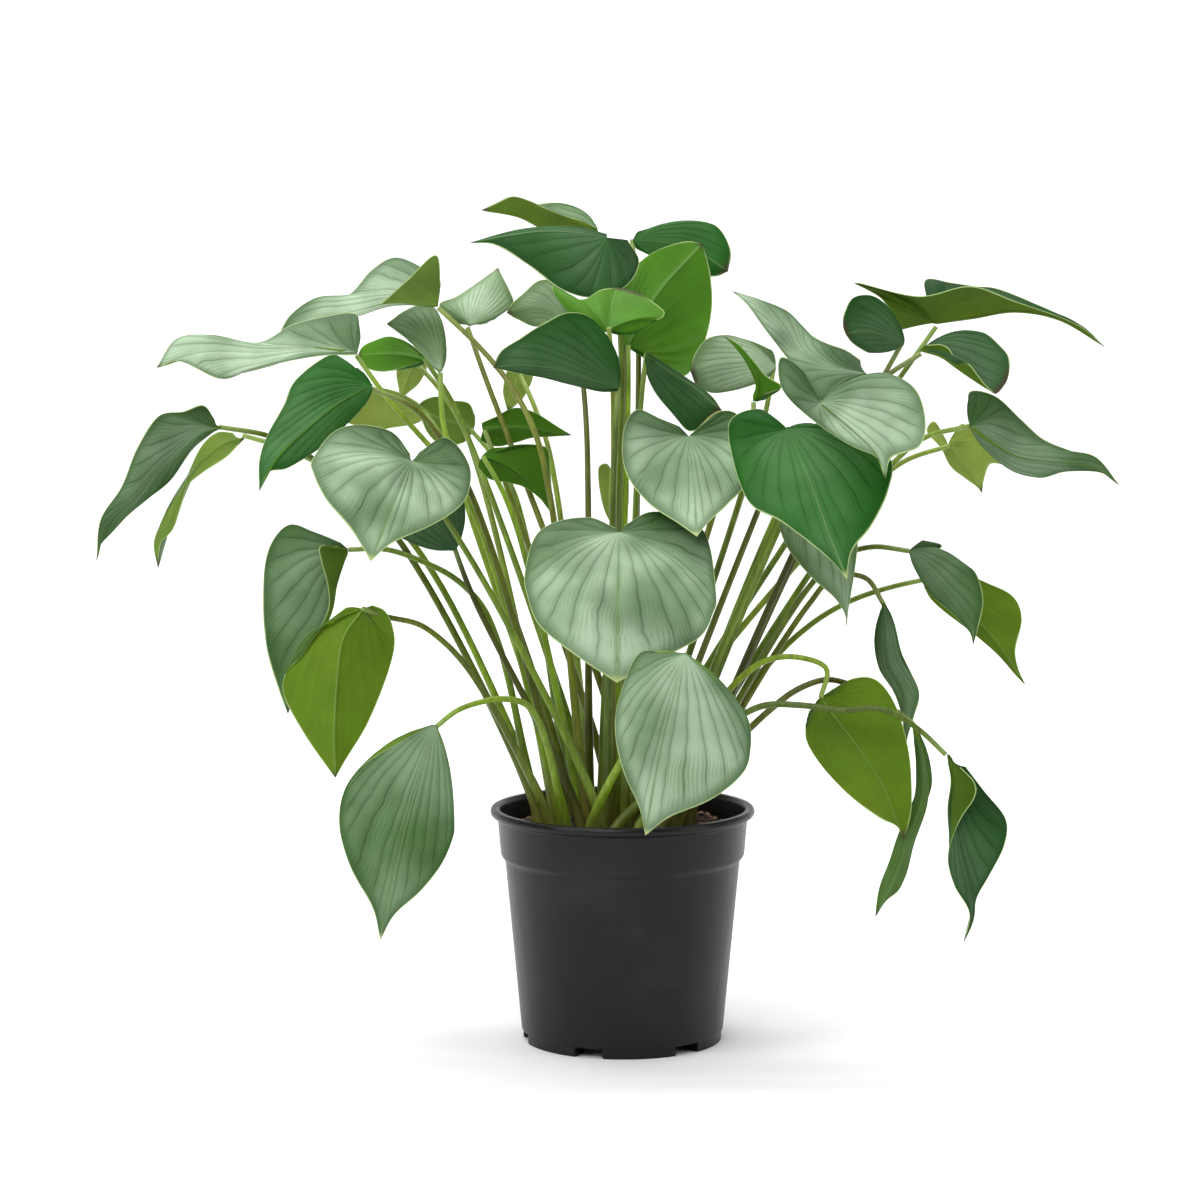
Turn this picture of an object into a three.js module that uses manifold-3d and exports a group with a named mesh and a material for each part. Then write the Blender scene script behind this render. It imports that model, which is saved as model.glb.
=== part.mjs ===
// Potted emerald gem homalomena: a nursery pot, its soil and a crown of long-stalked heart leaves.
// Millimetres, +Z up, front of the plant towards -Y, origin on the floor at the pot axis.
import * as THREE from 'three';
import { mergeVertices } from 'three/addons/utils/BufferGeometryUtils.js';
import Module from 'manifold-3d';

const wasm = await Module();
wasm.setup();

// Pot sizes
const rimRadius = 106;
const potHeight = 188;
const lipHeight = 6;
const collarTopRadius = 100;
const collarBottomRadius = 97.5;
const collarDrop = 38;
const collarStep = 4;
const bodyTopRadius = 94;
const bodyBottomRadius = 81;
const potWall = 2.2;
const footHeight = 8;
const footCount = 6;
const footSweep = 44;
const firstFootTurn = 10;
const footInset = 1.5;
const footWidth = 14;
const footSunk = 1;
const footSteps = 5;
const floorThickness = 3;
const drainCount = 6;
const drainRadius = 6;
const drainRing = 52;
const potSegments = 32;

// Soil sizes
const soilDrop = 13;
const soilSag = 5;
const soilGap = 0.3;
const soilFlatRadius = 66;
const soilBrimRadius = 84;
const soilBrimDrop = 2;
const soilSegments = 24;
const rootDepth = 14;
const rootGap = 0.4;
const soilTop = potHeight - soilDrop;

// Crown: the leaf stalks leave the soil in rings round this middle
const crownAcross = -7;
const crownRings = [
  { radius: 10, places: 4 },
  { radius: 27, places: 9 },
  { radius: 44, places: 15 },
  { radius: 61, places: 21 },
];

// Blade and stalk sizes
const bladeThickness = 0.9;
const pleatDepth = 1.5;
const pleatShare = 0.04;
const wideLeaf = 100;
const largeLength = 104;
const usualHalfWidth = 0.36;
const usualLobe = 0.55;
const usualBulge = 0.07;
const footLooks = 40;
const edgeOnWidth = 6;
const seatLook = 0.1;
const stalkBaseRadius = 4.4;
const stalkMiddleRadius = 2.9;
const stalkTopRadius = 2;
const stalkSides = 5;
const stalkSteps = 10;
const stalkGap = 0.8;
const stalkBeneath = 3.4;
const stalkClear = 2;
const riseShare = 0.16;
const riseLift = 0.06;
const sheathShare = 0.3;

// Colours
const potColour = 0x2c2c2d;
const soilColour = 0x2b211b;
const upperColour = 0x3f7a45;
const backColour = 0x6f9a3c;
const potRoughness = 0.55;
const soilRoughness = 0.95;
const leafRoughness = 0.45;

// The front elevation: a reading across and up on the sheet belongs to a line of sight from a
// point in front of the pot, and the third number says how far back along it the place is.
const viewDistance = 3000;
const viewHeight = 696;
const viewAcross = -18;
const viewTilt = THREE.MathUtils.degToRad(6.5);
const sheetDistance = 3038;
const sheetAcross = 18.4;
const sheetUp = -347.2;

function placeOnSightline([across, up, back]) {
  const ahead = new THREE.Vector3(0, Math.cos(viewTilt), -Math.sin(viewTilt));
  const over = new THREE.Vector3(0, Math.sin(viewTilt), Math.cos(viewTilt));
  const sight = ahead.multiplyScalar(sheetDistance);
  sight.addScaledVector(over, up + sheetUp);
  sight.x += across + sheetAcross;
  const eye = new THREE.Vector3(viewAcross, -viewDistance, viewHeight);
  return eye.addScaledVector(sight, (back + viewDistance) / sight.y);
}

// Half outline of a heart leaf from the notch round the lobe to the tip, as lengths along the
// midrib and shares of the half width. A lobe below zero starts ahead of the stalk instead.
const lobeBehind = [0.3, 0.97, 0.62];
const lobeAhead = [0, 0.35, 0.9];
const lobeWidths = [0.05, 0.36, 0.86];

function outlineKeys(leaf, side) {
  const { length } = leaf;
  const lobe = leaf.lobe[side];
  const belly = leaf.belly[side] * length;
  const body = (1 - leaf.tail) * length - belly;
  const full = leaf.full[side];
  const start = lobe < 0 ? lobeAhead.map((share) => -share * lobe) : lobeBehind.map((share) => -share * lobe);
  return {
    lengths: [...start, belly, belly + 0.3 * body, belly + 0.62 * body, belly + 0.9 * body, length],
    widths: [...lobeWidths, 1, 0.91 + 0.06 * full, 0.6 + 0.24 * full, 0.2 + 0.26 * full - 0.2 * leaf.tail, 0],
  };
}

function throughKeys(keys, share) {
  const last = keys.length - 1;
  const at = Math.min(Math.max(share, 0), 1) * last;
  const key = Math.min(Math.floor(at), last - 1);
  const f = at - key;
  const a = keys[key];
  const b = keys[key + 1];
  const before = key > 0 ? keys[key - 1] : 2 * a - b;
  const after = key + 2 <= last ? keys[key + 2] : 2 * b - a;
  const slopeA = (b - before) / 2;
  const slopeB = (after - a) / 2;
  const f2 = f * f;
  const f3 = f2 * f;
  return a * (2 * f3 - 3 * f2 + 1) + slopeA * (f3 - 2 * f2 + f)
    + b * (3 * f2 - 2 * f3) + slopeB * (f3 - f2);
}

// A vein starts at the stalk, runs outward and bends forward to the margin
const veinBendLength = 0.3;
const veinBendWidth = 0.62;
const edgeOnBendLength = 0.8;
const edgeOnBendWidth = 0.25;

function veinPoint(leaf, side, reach, turn) {
  const length = throughKeys(leaf.keys[side].lengths, turn);
  const width = throughKeys(leaf.keys[side].widths, turn) * leaf.wide[side];
  const start = 2 * reach * (1 - reach);
  const end = reach * reach;
  return {
    along: start * veinBendLength * length + end * length,
    out: start * veinBendWidth * width + end * width,
  };
}

function midribFrame(leaf, along) {
  const share = along / leaf.length;
  const ahead01 = Math.max(share, 0);
  const arch = 4 * share * (1 - ahead01);
  const late = 6.75 * ahead01 * ahead01 * (1 - ahead01);
  const place = leaf.seat.clone().addScaledVector(leaf.chord, along);
  place.addScaledVector(leaf.face, leaf.bow * arch + leaf.hook * late);
  place.addScaledVector(leaf.right, leaf.sway * arch + leaf.swerve * late);
  const archSlope = 4 * (1 - 2 * ahead01) / leaf.length;
  const lateSlope = 6.75 * (2 * ahead01 - 3 * ahead01 * ahead01) / leaf.length;
  const ahead = leaf.chord.clone();
  ahead.addScaledVector(leaf.face, leaf.bow * archSlope + leaf.hook * lateSlope);
  ahead.addScaledVector(leaf.right, leaf.sway * archSlope + leaf.swerve * lateSlope);
  ahead.normalize();
  const up = leaf.face.clone().addScaledVector(ahead, -leaf.face.dot(ahead)).normalize();
  up.applyAxisAngle(ahead, THREE.MathUtils.degToRad(leaf.twist) * Math.max(share, 0));
  const right = up.clone().cross(ahead);
  return { place, ahead, up, right };
}

// Across the blade each half leaves the midrib at its fold and bends on by its curl
function bladePoint(leaf, side, reach, turn) {
  const { along, out } = veinPoint(leaf, side, reach, turn);
  const frame = midribFrame(leaf, along);
  const share = Math.min(Math.max(along / leaf.length, 0), 1);
  const fold = leaf.fold[side] + (leaf.foldTip[side] - leaf.fold[side]) * share;
  const start = THREE.MathUtils.degToRad(fold);
  const bend = THREE.MathUtils.degToRad(leaf.curl[side]) / leaf.wide[side];
  const end = start + bend * out;
  let flat = out * Math.cos(start);
  let raised = out * Math.sin(start);
  if (Math.abs(bend) > 1e-6) {
    flat = (Math.sin(end) - Math.sin(start)) / bend;
    raised = (Math.cos(start) - Math.cos(end)) / bend;
  }
  const lobeShare = Math.min(along / Math.max(leaf.lobe[side], 12), 0);
  raised += leaf.ear[side] * lobeShare * lobeShare;
  const edge = out / leaf.wide[side];
  raised += leaf.wave * edge * edge * Math.sin(2 * Math.PI * (leaf.waves * turn + 0.3 * side));
  const swell = Math.sin(Math.PI * reach) * Math.min(2 * reach, 1);
  raised -= leaf.pleat * swell * Math.cos(Math.PI * leaf.veins * (1 - turn));
  const hand = side === 0 ? -1 : 1;
  return frame.place.addScaledVector(frame.right, hand * flat).addScaledVector(frame.up, raised);
}

function throughPoints(points, share) {
  const along = (axis) => throughKeys(points.map((point) => point[axis]), share);
  return new THREE.Vector3(along('x'), along('y'), along('z'));
}

// Share of the midrib whose reading lies nearest a margin reading, never further back than before
function nearestFoot(midrib, [across, up], from) {
  let foot = { share: from, gap: Infinity, back: 0 };
  for (let k = 0; k <= footLooks; k += 1) {
    const share = from + (1 - from) * k / footLooks;
    const place = [0, 1, 2].map((axis) => throughKeys(midrib.map((reading) => reading[axis]), share));
    const gap = Math.hypot(across - place[0], up - place[1]);
    if (gap < foot.gap) {
      foot = { share, gap, back: place[2] };
    }
  }
  return foot;
}

// A margin stands back from the midrib by its lean times their distance on the sheet. On a leaf seen
// edge on it keeps some of that depth where the distance goes to nothing.
function readMargin(row, side) {
  const midrib = [row.seat, ...row.midrib, row.tip];
  const lean = row.lean[side];
  const kept = row.edgeOn ? lean * edgeOnWidth : 0;
  const margin = [];
  const feet = [];
  row.margins[side].forEach((reading) => {
    const foot = nearestFoot(midrib, reading, feet.length ? feet[feet.length - 1] : 0);
    margin.push(placeOnSightline([...reading, foot.back + lean * Math.hypot(foot.gap, kept)]));
    feet.push(foot.share);
  });
  return { margin: [...margin, placeOnSightline(row.tip)], feet: [...feet, 1] };
}

// Point of a blade that is read as a midrib and two margins: its veins run as on the others
function outlinedPoint(leaf, side, reach, turn) {
  const foot = throughKeys(leaf.feet[side], turn);
  const start = 2 * reach * (1 - reach);
  const end = reach * reach;
  const out = throughPoints(leaf.margins[side], turn).sub(throughPoints(leaf.midrib, foot));
  const place = throughPoints(leaf.midrib, foot * (start * leaf.bendLength + end));
  return place.addScaledVector(out, start * leaf.bendWidth + end);
}

// How far such a blade rises off the straight line from midrib to margin, pleats included
function outlinedRise(leaf, side, reach, turn) {
  const foot = throughKeys(leaf.feet[side], turn);
  const halfWidth = throughPoints(leaf.margins[side], turn).distanceTo(throughPoints(leaf.midrib, foot));
  const out = 2 * reach * (1 - reach) * leaf.bendWidth + reach * reach;
  const swell = Math.sin(Math.PI * reach) * Math.min(2 * reach, 1);
  const pleat = Math.min(pleatDepth, pleatShare * halfWidth);
  return leaf.bulge[side] * halfWidth * 4 * out * (1 - out)
    - pleat * swell * Math.cos(Math.PI * leaf.veins * (1 - turn));
}

function veinsFor(halfWidth) {
  if (halfWidth > 36) {
    return 7;
  }
  return halfWidth > 20 ? 5 : 4;
}

const pair = (value, usual) => (Array.isArray(value) ? value : [value ?? usual, value ?? usual]);

// Numbers of a leaf that is shaped by its widths and folds, the usual ones where its row is silent
function readFormed(row, seat, chord, length) {
  const face = new THREE.Vector3(...row.face);
  face.addScaledVector(chord, -face.dot(chord)).normalize();
  const wide = row.wide ?? [usualHalfWidth * length, usualHalfWidth * length];
  const fold = row.fold ?? [16, 16];
  const leaf = {
    seat,
    chord,
    length,
    face,
    right: face.clone().cross(chord),
    wide,
    lobe: row.lobe ?? [usualLobe * wide[0], usualLobe * wide[1]],
    belly: pair(row.belly, 0.14),
    full: pair(row.full, 0),
    tail: row.tail ?? 0.08,
    fold,
    foldTip: row.foldTip ?? [0.6 * fold[0], 0.6 * fold[1]],
    curl: row.curl ?? [-26, -26],
    bow: row.bow ?? 0.1 * length,
    hook: row.hook ?? 0,
    sway: row.sway ?? 0,
    swerve: row.swerve ?? 0,
    twist: row.twist ?? 0,
    ear: row.ear ?? [0, 0],
    wave: row.wave ?? 1.5,
    waves: row.waves ?? 2,
    pleat: pleatDepth * Math.min((wide[0] + wide[1]) / wideLeaf, 1),
    veins: veinsFor((wide[0] + wide[1]) / 2),
    pointAt: bladePoint,
    riseAt: () => 0,
  };
  leaf.keys = [outlineKeys(leaf, 0), outlineKeys(leaf, 1)];
  leaf.seatUp = midribFrame(leaf, 0).up;
  return leaf;
}

// Numbers of a leaf whose midrib and margins are read: one vein runs to each margin reading
function readOutlined(row, seat) {
  const sides = [readMargin(row, 0), readMargin(row, 1)];
  const midrib = [row.seat, ...row.midrib, row.tip].map(placeOnSightline);
  const margins = sides.map((side) => side.margin);
  const ahead = throughPoints(midrib, seatLook).sub(seat);
  const right = throughPoints(margins[1], 0.5).sub(throughPoints(margins[0], 0.5));
  return {
    seat,
    midrib,
    margins,
    feet: sides.map((side) => side.feet),
    bulge: pair(row.bulge, usualBulge),
    bendLength: row.edgeOn ? edgeOnBendLength : veinBendLength,
    bendWidth: row.edgeOn ? edgeOnBendWidth : veinBendWidth,
    veins: row.margins[0].length,
    pointAt: outlinedPoint,
    riseAt: outlinedRise,
    seatUp: ahead.cross(right).normalize(),
  };
}

function readLeaf(row) {
  const seat = placeOnSightline(row.seat);
  const chord = placeOnSightline(row.tip).sub(seat);
  const length = chord.length();
  chord.normalize();
  return {
    ...(row.margins ? readOutlined(row, seat) : readFormed(row, seat, chord, length)),
    name: row.name,
    rings: length > largeLength ? 4 : 3,
    stalk: (row.stalk ?? []).map(placeOnSightline),
    baseRadius: row.baseRadius ?? stalkBaseRadius,
    colour: row.back ? backColour : upperColour,
  };
}

// A leaf read point by point lists its margins from the seat to the tip; side 0 lies on the left
// where the tip hangs down with the upper face forward. The other leaves state their form.
const leafRows = [
  // Left side, outermost first
  { name: 'leaf_01', seat: [-321, 485, -50], midrib: [[-341, 480, -62], [-368, 456, -78], [-389, 430, -90],
    [-402, 419, -96], [-414, 404, -102]], tip: [-421, 379, -110], lean: [-0.5, 0.7], edgeOn: true,
    margins: [[[-327, 492], [-336, 503], [-352, 498], [-372, 494], [-389, 468], [-401, 438], [-418, 411]],
      [[-330, 480], [-345, 467], [-362, 443], [-379, 429], [-396, 415], [-409, 401], [-418, 391]]],
    stalk: [[-294, 481, -34], [-262, 469, -8], [-190, 408, 0]] },
  { name: 'leaf_02', seat: [-303, 476, 70], midrib: [[-322, 470, 72], [-341, 452, 76], [-350, 438, 78],
    [-359, 417, 78]], tip: [-372, 373, 80], lean: [-0.8, 0.8], edgeOn: true, back: true,
    margins: [[[-308, 471], [-318, 461], [-335, 450], [-348, 439], [-353, 425], [-360, 404], [-370, 392]],
      [[-312, 481], [-325, 481], [-338, 469], [-351, 441], [-356, 433], [-365, 418], [-375, 394]]],
    stalk: [[-250, 460, 60], [-170, 395, 50]] },
  { name: 'leaf_03', seat: [-148, 583, 60], midrib: [[-185, 585, 66], [-215, 578, 72], [-245, 573, 78]],
    tip: [-276, 558, 84], lean: [1, -0.7],
    margins: [[[-151, 600], [-160, 612], [-182, 621], [-201, 611], [-220, 591], [-245, 589], [-266, 575]],
      [[-146, 600], [-150, 623], [-173, 603], [-196, 583], [-222, 573], [-247, 568], [-268, 563]]],
    stalk: [[-103, 536, 50], [-70, 480, 30]] },
  { name: 'leaf_04', seat: [-213, 545, 40], midrib: [[-252, 547, 36], [-290, 544, 32], [-335, 544, 26]],
    tip: [-373, 533, 20], lean: [0.9, -0.9], edgeOn: true,
    margins: [[[-212, 560], [-214, 576], [-238, 574], [-265, 567], [-292, 553], [-328, 559], [-357, 556]],
      [[-212, 543], [-222, 543], [-238, 543], [-264, 539], [-298, 531], [-322, 524], [-354, 538]]],
    stalk: [[-178, 495, 40], [-130, 440, 30]] },
  { name: 'leaf_05', seat: [-201, 518, 0], midrib: [[-228, 503, -18], [-254, 482, -36], [-276, 460, -50]],
    tip: [-291, 434, -60], lean: [0.3, 0.4],
    margins: [[[-206, 525], [-219, 536], [-235, 543], [-262, 523], [-272, 502], [-285, 478], [-291, 458]],
      [[-205, 512], [-213, 500], [-222, 487], [-238, 472], [-254, 461], [-270, 452], [-284, 449]]],
    stalk: [[-176, 508, 5], [-130, 450, 10]] },
  { name: 'leaf_06', seat: [-169, 458, -80], tip: [-202, 378, -165], face: [0.28, -0.71, 0.64],
    wide: [72, 50], lobe: [36, 62], belly: [0.27, 0.06], full: [0.4, 0], fold: [4, 8],
    stalk: [[-160, 440, -60], [-110, 360, -40]] },
  { name: 'leaf_07', seat: [-220, 388, 0], midrib: [[-229, 360, -6], [-234, 335, -12], [-252, 300, -16]],
    tip: [-268, 256, -20], lean: [0.1, -1.2],
    margins: [[[-226, 393], [-246, 401], [-268, 407], [-284, 386], [-288, 348], [-285, 308], [-275, 274]],
      [[-228, 390], [-242, 390], [-241, 377], [-236, 358], [-236, 338], [-250, 310], [-262, 280]]],
    stalk: [[-190, 388, 0], [-118, 350, -10]] },
  { name: 'leaf_08', seat: [-208, 340, -80], midrib: [[-224, 316, -84], [-229, 280, -87], [-231, 240, -89]],
    tip: [-230, 205, -90], lean: [0.25, 0.25], back: true,
    margins: [[[-200, 343], [-190, 338], [-184, 325], [-183, 308], [-191, 280], [-205, 247], [-222, 219]],
      [[-222, 341], [-240, 326], [-258, 302], [-270, 288], [-271, 270], [-255, 240], [-237, 214]]],
    stalk: [[-190, 334, -70], [-168, 330, -68], [-130, 300, -55]] },
  { name: 'leaf_09', seat: [-150, 247, -120], tip: [-194, 75, -150], face: [-0.1, -0.9, 0.3],
    wide: [58, 38], lobe: [-50, -72], belly: [0.4, 0.46], fold: [0, -6],
    stalk: [[-126, 262, -112], [-78, 264, -90]] },

  // Left of the middle, mostly behind
  { name: 'leaf_10', seat: [-123, 567, 140], midrib: [[-114, 583, 162], [-106, 598, 184]],
    tip: [-100, 613, 205], lean: [0.3, 0.3],
    margins: [[[-112, 569], [-100, 576], [-88, 584], [-91, 595], [-96, 605]],
      [[-134, 568], [-147, 583], [-133, 590], [-118, 600], [-107, 608]]],
    stalk: [[-113, 533, 128]] },
  { name: 'leaf_11', seat: [-146, 530, 90], midrib: [[-158, 552, 98], [-172, 565, 110]],
    tip: [-189, 568, 120], lean: [0.4, 0.4],
    margins: [[[-144, 541], [-143, 560], [-150, 580], [-163, 583], [-177, 577]],
      [[-148, 532], [-155, 538], [-163, 546], [-172, 555], [-181, 562]]],
    stalk: [[-144, 490, 85]] },
  { name: 'leaf_12', seat: [-38, 559, 104], midrib: [[-56, 577, 112], [-74, 582, 120]],
    tip: [-93, 577, 128], lean: [0.5, 0.3],
    margins: [[[-40, 572], [-50, 598], [-66, 603], [-80, 592], [-89, 584]],
      [[-42, 562], [-52, 568], [-62, 570], [-71, 566], [-85, 572]]],
    stalk: [[-30, 500, 86]] },
  { name: 'leaf_13', seat: [-157, 539, 150], midrib: [[-175, 543, 165], [-194, 544, 178]],
    tip: [-212, 543, 190], lean: [-0.6, 0.6], back: true,
    margins: [[[-163, 537], [-173, 534], [-184, 531], [-195, 530], [-205, 533]],
      [[-163, 543], [-173, 553], [-186, 558], [-198, 555], [-208, 550]]],
    stalk: [[-134, 500, 138]] },
  { name: 'leaf_14', seat: [-167, 542, 200], tip: [-178, 508, 220], face: [0.2, 0.8, 0.3], back: true,
    wide: [13, 13], full: 0.6, stalk: [[-130, 490, 160]] },
  { name: 'leaf_15', seat: [-156, 497, 110], midrib: [[-178, 499, 117], [-202, 497, 124]],
    tip: [-224, 490, 130], lean: [0.3, -0.3], back: true,
    margins: [[[-162, 491], [-172, 487], [-185, 485], [-198, 483], [-211, 486]],
      [[-163, 501], [-175, 509], [-190, 516], [-203, 516], [-214, 505]]],
    stalk: [[-140, 470, 95]] },
  { name: 'leaf_16', seat: [-120, 483, 170], midrib: [[-135, 489, 180], [-150, 494, 190]],
    tip: [-165, 501, 200], lean: [0.3, 0.3], back: true,
    margins: [[[-128, 473], [-140, 470], [-150, 474], [-157, 482], [-161, 491]],
      [[-119, 496], [-124, 505], [-138, 507], [-149, 510], [-159, 507]]],
    stalk: [[-90, 440, 140]] },
  { name: 'leaf_17', seat: [-112, 483, 120], midrib: [[-90, 485, 130], [-66, 483, 140]],
    tip: [-41, 479, 150], lean: [0.3, 0.3], back: true,
    margins: [[[-113, 489], [-99, 495], [-86, 501], [-70, 497], [-54, 487]],
      [[-114, 474], [-101, 470], [-86, 473], [-72, 477], [-56, 478]]],
    stalk: [[-90, 430, 100]] },
  { name: 'leaf_18', seat: [-113, 462, 60], midrib: [[-94, 454, 66], [-75, 440, 74]],
    tip: [-56, 415, 80], lean: [0.4, 0.3], back: true,
    margins: [[[-103, 469], [-82, 470], [-61, 469], [-58, 450], [-57, 431]],
      [[-116, 453], [-107, 444], [-92, 441], [-78, 437], [-65, 427]]],
    stalk: [[-90, 420, 55]] },
  { name: 'leaf_19', seat: [-134, 388, -20], midrib: [[-146, 404, -30], [-160, 420, -40]],
    tip: [-176, 438, -50], lean: [0.3, 0.3],
    margins: [[[-131, 395], [-129, 411], [-128, 429], [-137, 442], [-156, 446]],
      [[-144, 389], [-156, 393], [-170, 397], [-183, 401], [-187, 422]]],
    stalk: [[-120, 350, -15]] },
  { name: 'leaf_20', seat: [-9, 451, 130], tip: [-4, 399, 140], face: [0, 0.9, 0.2], back: true,
    wide: [13, 12], full: 0.8, stalk: [[-8, 400, 100]] },
  { name: 'leaf_21', seat: [-82, 530, 230], tip: [-92, 498, 240], face: [0, 0.9, 0.3], back: true,
    wide: [12, 11], full: 0.8, stalk: [[-60, 470, 180]] },

  // Middle, facing the front
  { name: 'leaf_22', seat: [-3, 401, -120], tip: [-5, 281, -190], face: [0, -0.75, 0.65],
    wide: [73, 76], lobe: [18, 26], belly: [0.22, 0.38], full: 0.9, fold: [2, 2],
    stalk: [[-2, 395, -90]] },
  { name: 'leaf_23', seat: [50, 304, -215], tip: [18, 159, -225], face: [-0.15, -0.9, 0.3],
    wide: [44, 66], lobe: [-6, -36], belly: [0.3, 0.46], full: [0, 0.2], fold: [-4, -4],
    stalk: [[44, 294, -150]] },
  { name: 'leaf_24', seat: [53, 478, -60], midrib: [[55, 458, -80], [57, 438, -99], [58, 418, -116]],
    tip: [59, 398, -132], lean: [0.15, 0.15],
    margins: [[[45, 486], [30, 492], [10, 499], [0, 480], [2, 450], [20, 425], [45, 408]],
      [[61, 484], [78, 498], [93, 494], [101, 470], [98, 441], [84, 424], [69, 410]]],
    stalk: [[90, 500, -20]] },
  { name: 'leaf_25', seat: [18, 544, 45], midrib: [[37, 530, 40], [58, 517, 34]],
    tip: [79, 499, 28], lean: [0.2, 0.6],
    margins: [[[25, 531], [33, 516], [43, 494], [54, 482], [70, 490]],
      [[23, 543], [37, 534], [51, 525], [62, 517], [72, 509]]],
    stalk: [[14, 500, 36]] },
  { name: 'leaf_26', seat: [131, 484, -110], midrib: [[141, 462, -124], [151, 438, -140], [164, 402, -158]],
    tip: [179, 364, -172], lean: [0.2, 0.2],
    margins: [[[126, 489], [108, 500], [86, 491], [87, 464], [101, 425], [128, 409], [164, 381]],
      [[137, 486], [153, 488], [187, 474], [214, 460], [212, 434], [199, 407], [183, 386]]],
    stalk: [[128, 470, -80]] },
  { name: 'leaf_27', seat: [158, 505, -130], midrib: [[172, 493, -146], [188, 479, -164], [202, 464, -184]],
    tip: [210, 444, -200], lean: [0.3, 0.3],
    margins: [[[152, 513], [143, 531], [126, 541], [127, 517], [148, 494], [180, 472], [203, 461]],
      [[166, 507], [181, 518], [206, 529], [233, 517], [242, 491], [237, 470], [215, 461]]],
    stalk: [[154, 482, -84]] },
  { name: 'leaf_28', seat: [151, 451, -30], midrib: [[161, 425, -42], [171, 394, -54], [178, 360, -63]],
    tip: [179, 325, -70], lean: [0.3, 0.2],
    margins: [[[139, 457], [124, 446], [122, 424], [130, 392], [150, 366], [168, 350], [177, 337]],
      [[163, 458], [178, 441], [188, 417], [188, 394], [185, 368], [182, 350], [180, 337]]],
    stalk: [[135, 425, -20]] },

  // Top
  { name: 'leaf_29', seat: [-20, 640, 130], midrib: [[-38, 641, 127], [-62, 644, 122], [-84, 654, 116]],
    tip: [-113, 659, 110], lean: [1.4, -0.9],
    margins: [[[-23, 648], [-32, 656], [-43, 663], [-56, 665], [-69, 664], [-82, 664], [-98, 664]],
      [[-22, 645], [-35, 651], [-50, 655], [-63, 661], [-76, 667], [-89, 670], [-101, 665]]],
    stalk: [[0, 560, 100]] },
  { name: 'leaf_30', seat: [-13, 637, 62], midrib: [[-38, 641, 58], [-64, 642, 52], [-90, 639, 46]],
    tip: [-122, 633, 36], lean: [3, -0.5],
    margins: [[[-14, 640], [-26, 643], [-40, 646], [-56, 646], [-72, 645], [-86, 643], [-102, 639]],
      [[4, 635], [13, 617], [2, 598], [-24, 589], [-50, 596], [-77, 616], [-102, 631]]],
    stalk: [[-2, 560, 56]] },
  { name: 'leaf_31', seat: [-12, 562, -40], midrib: [[-10, 575, -20], [-8, 586, 0]],
    tip: [-5, 597, 16], lean: [-0.3, -0.3], bulge: -0.15, back: true,
    margins: [[[-19, 570], [-30, 577], [-44, 578], [-57, 598], [-42, 589], [-30, 588], [-18, 595]],
      [[2, 567], [15, 572], [29, 572], [33, 577], [27, 583], [15, 591], [4, 595]]],
    stalk: [[-8, 520, -30]] },
  { name: 'leaf_32', seat: [3, 550, 60], midrib: [[15, 573, 74], [31, 597, 94], [47, 615, 112]],
    tip: [63, 632, 130], lean: [0.2, 0.2], back: true,
    margins: [[[-3, 557], [-7, 576], [-4, 595], [8, 612], [22, 624], [38, 631], [53, 634]],
      [[18, 540], [40, 530], [52, 528], [65, 552], [71, 580], [70, 606], [66, 623]]],
    stalk: [[4, 500, 50]] },
  { name: 'leaf_33', seat: [8, 635, 160], midrib: [[30, 634, 164], [56, 628, 167]],
    tip: [84, 610, 170], lean: [0.3, 0.4],
    margins: [[[11, 628], [26, 621], [43, 613], [60, 607], [74, 606]],
      [[12, 642], [32, 647], [54, 649], [75, 646], [86, 627]]],
    stalk: [[12, 570, 130]] },
  { name: 'leaf_34', seat: [-3, 517, -80], midrib: [[-28, 524, -88], [-54, 532, -96], [-80, 535, -104]],
    tip: [-104, 533, -110], lean: [0.3, 0.3],
    margins: [[[-8, 534], [-13, 554], [-26, 573], [-45, 577], [-66, 567], [-83, 556], [-98, 546]],
      [[-6, 514], [-18, 514], [-32, 517], [-48, 521], [-64, 525], [-80, 528], [-95, 531]]],
    stalk: [[-7, 460, -66]] },

  // Right side
  { name: 'leaf_35', seat: [122, 534, 100], midrib: [[100, 537, 92], [76, 535, 82]],
    tip: [54, 530, 72], lean: [0.4, 0.1],
    margins: [[[119, 547], [103, 554], [84, 559], [67, 556], [57, 543]],
      [[113, 525], [99, 518], [84, 514], [70, 513], [59, 519]]],
    stalk: [[110, 480, 80]] },
  { name: 'leaf_36', seat: [105, 506, 20], midrib: [[109, 519, 17], [103, 534, 14], [94, 546, 12]],
    tip: [81, 558, 10], lean: [0.4, -0.4], back: true,
    margins: [[[104, 511], [106, 519], [102, 530], [96, 541], [88, 551]],
      [[113, 512], [127, 518], [114, 527], [103, 540], [92, 552]]],
    stalk: [[104, 470, 10]] },
  { name: 'leaf_37', seat: [195, 528, 30], midrib: [[166, 533, 40], [141, 545, 48], [127, 564, 54],
    [106, 585, 58]], tip: [88, 594, 60], lean: [0.8, -0.8], edgeOn: true,
    margins: [[[190, 539], [178, 547], [164, 552], [152, 558], [142, 568], [130, 579], [108, 588]],
      [[190, 519], [175, 512], [158, 506], [141, 528], [128, 545], [112, 566], [99, 584]]],
    stalk: [[150, 470, 20]] },
  { name: 'leaf_38', seat: [225, 553, 10], midrib: [[212, 558, 4], [198, 562, -2], [187, 562, -7]],
    tip: [178, 560, -10], lean: [0.2, 0.2],
    margins: [[[223, 562], [217, 574], [210, 584], [198, 591], [184, 589], [177, 577], [176, 567]],
      [[221, 552], [215, 550], [209, 549], [203, 547], [197, 545], [190, 548], [183, 553]]],
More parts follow.
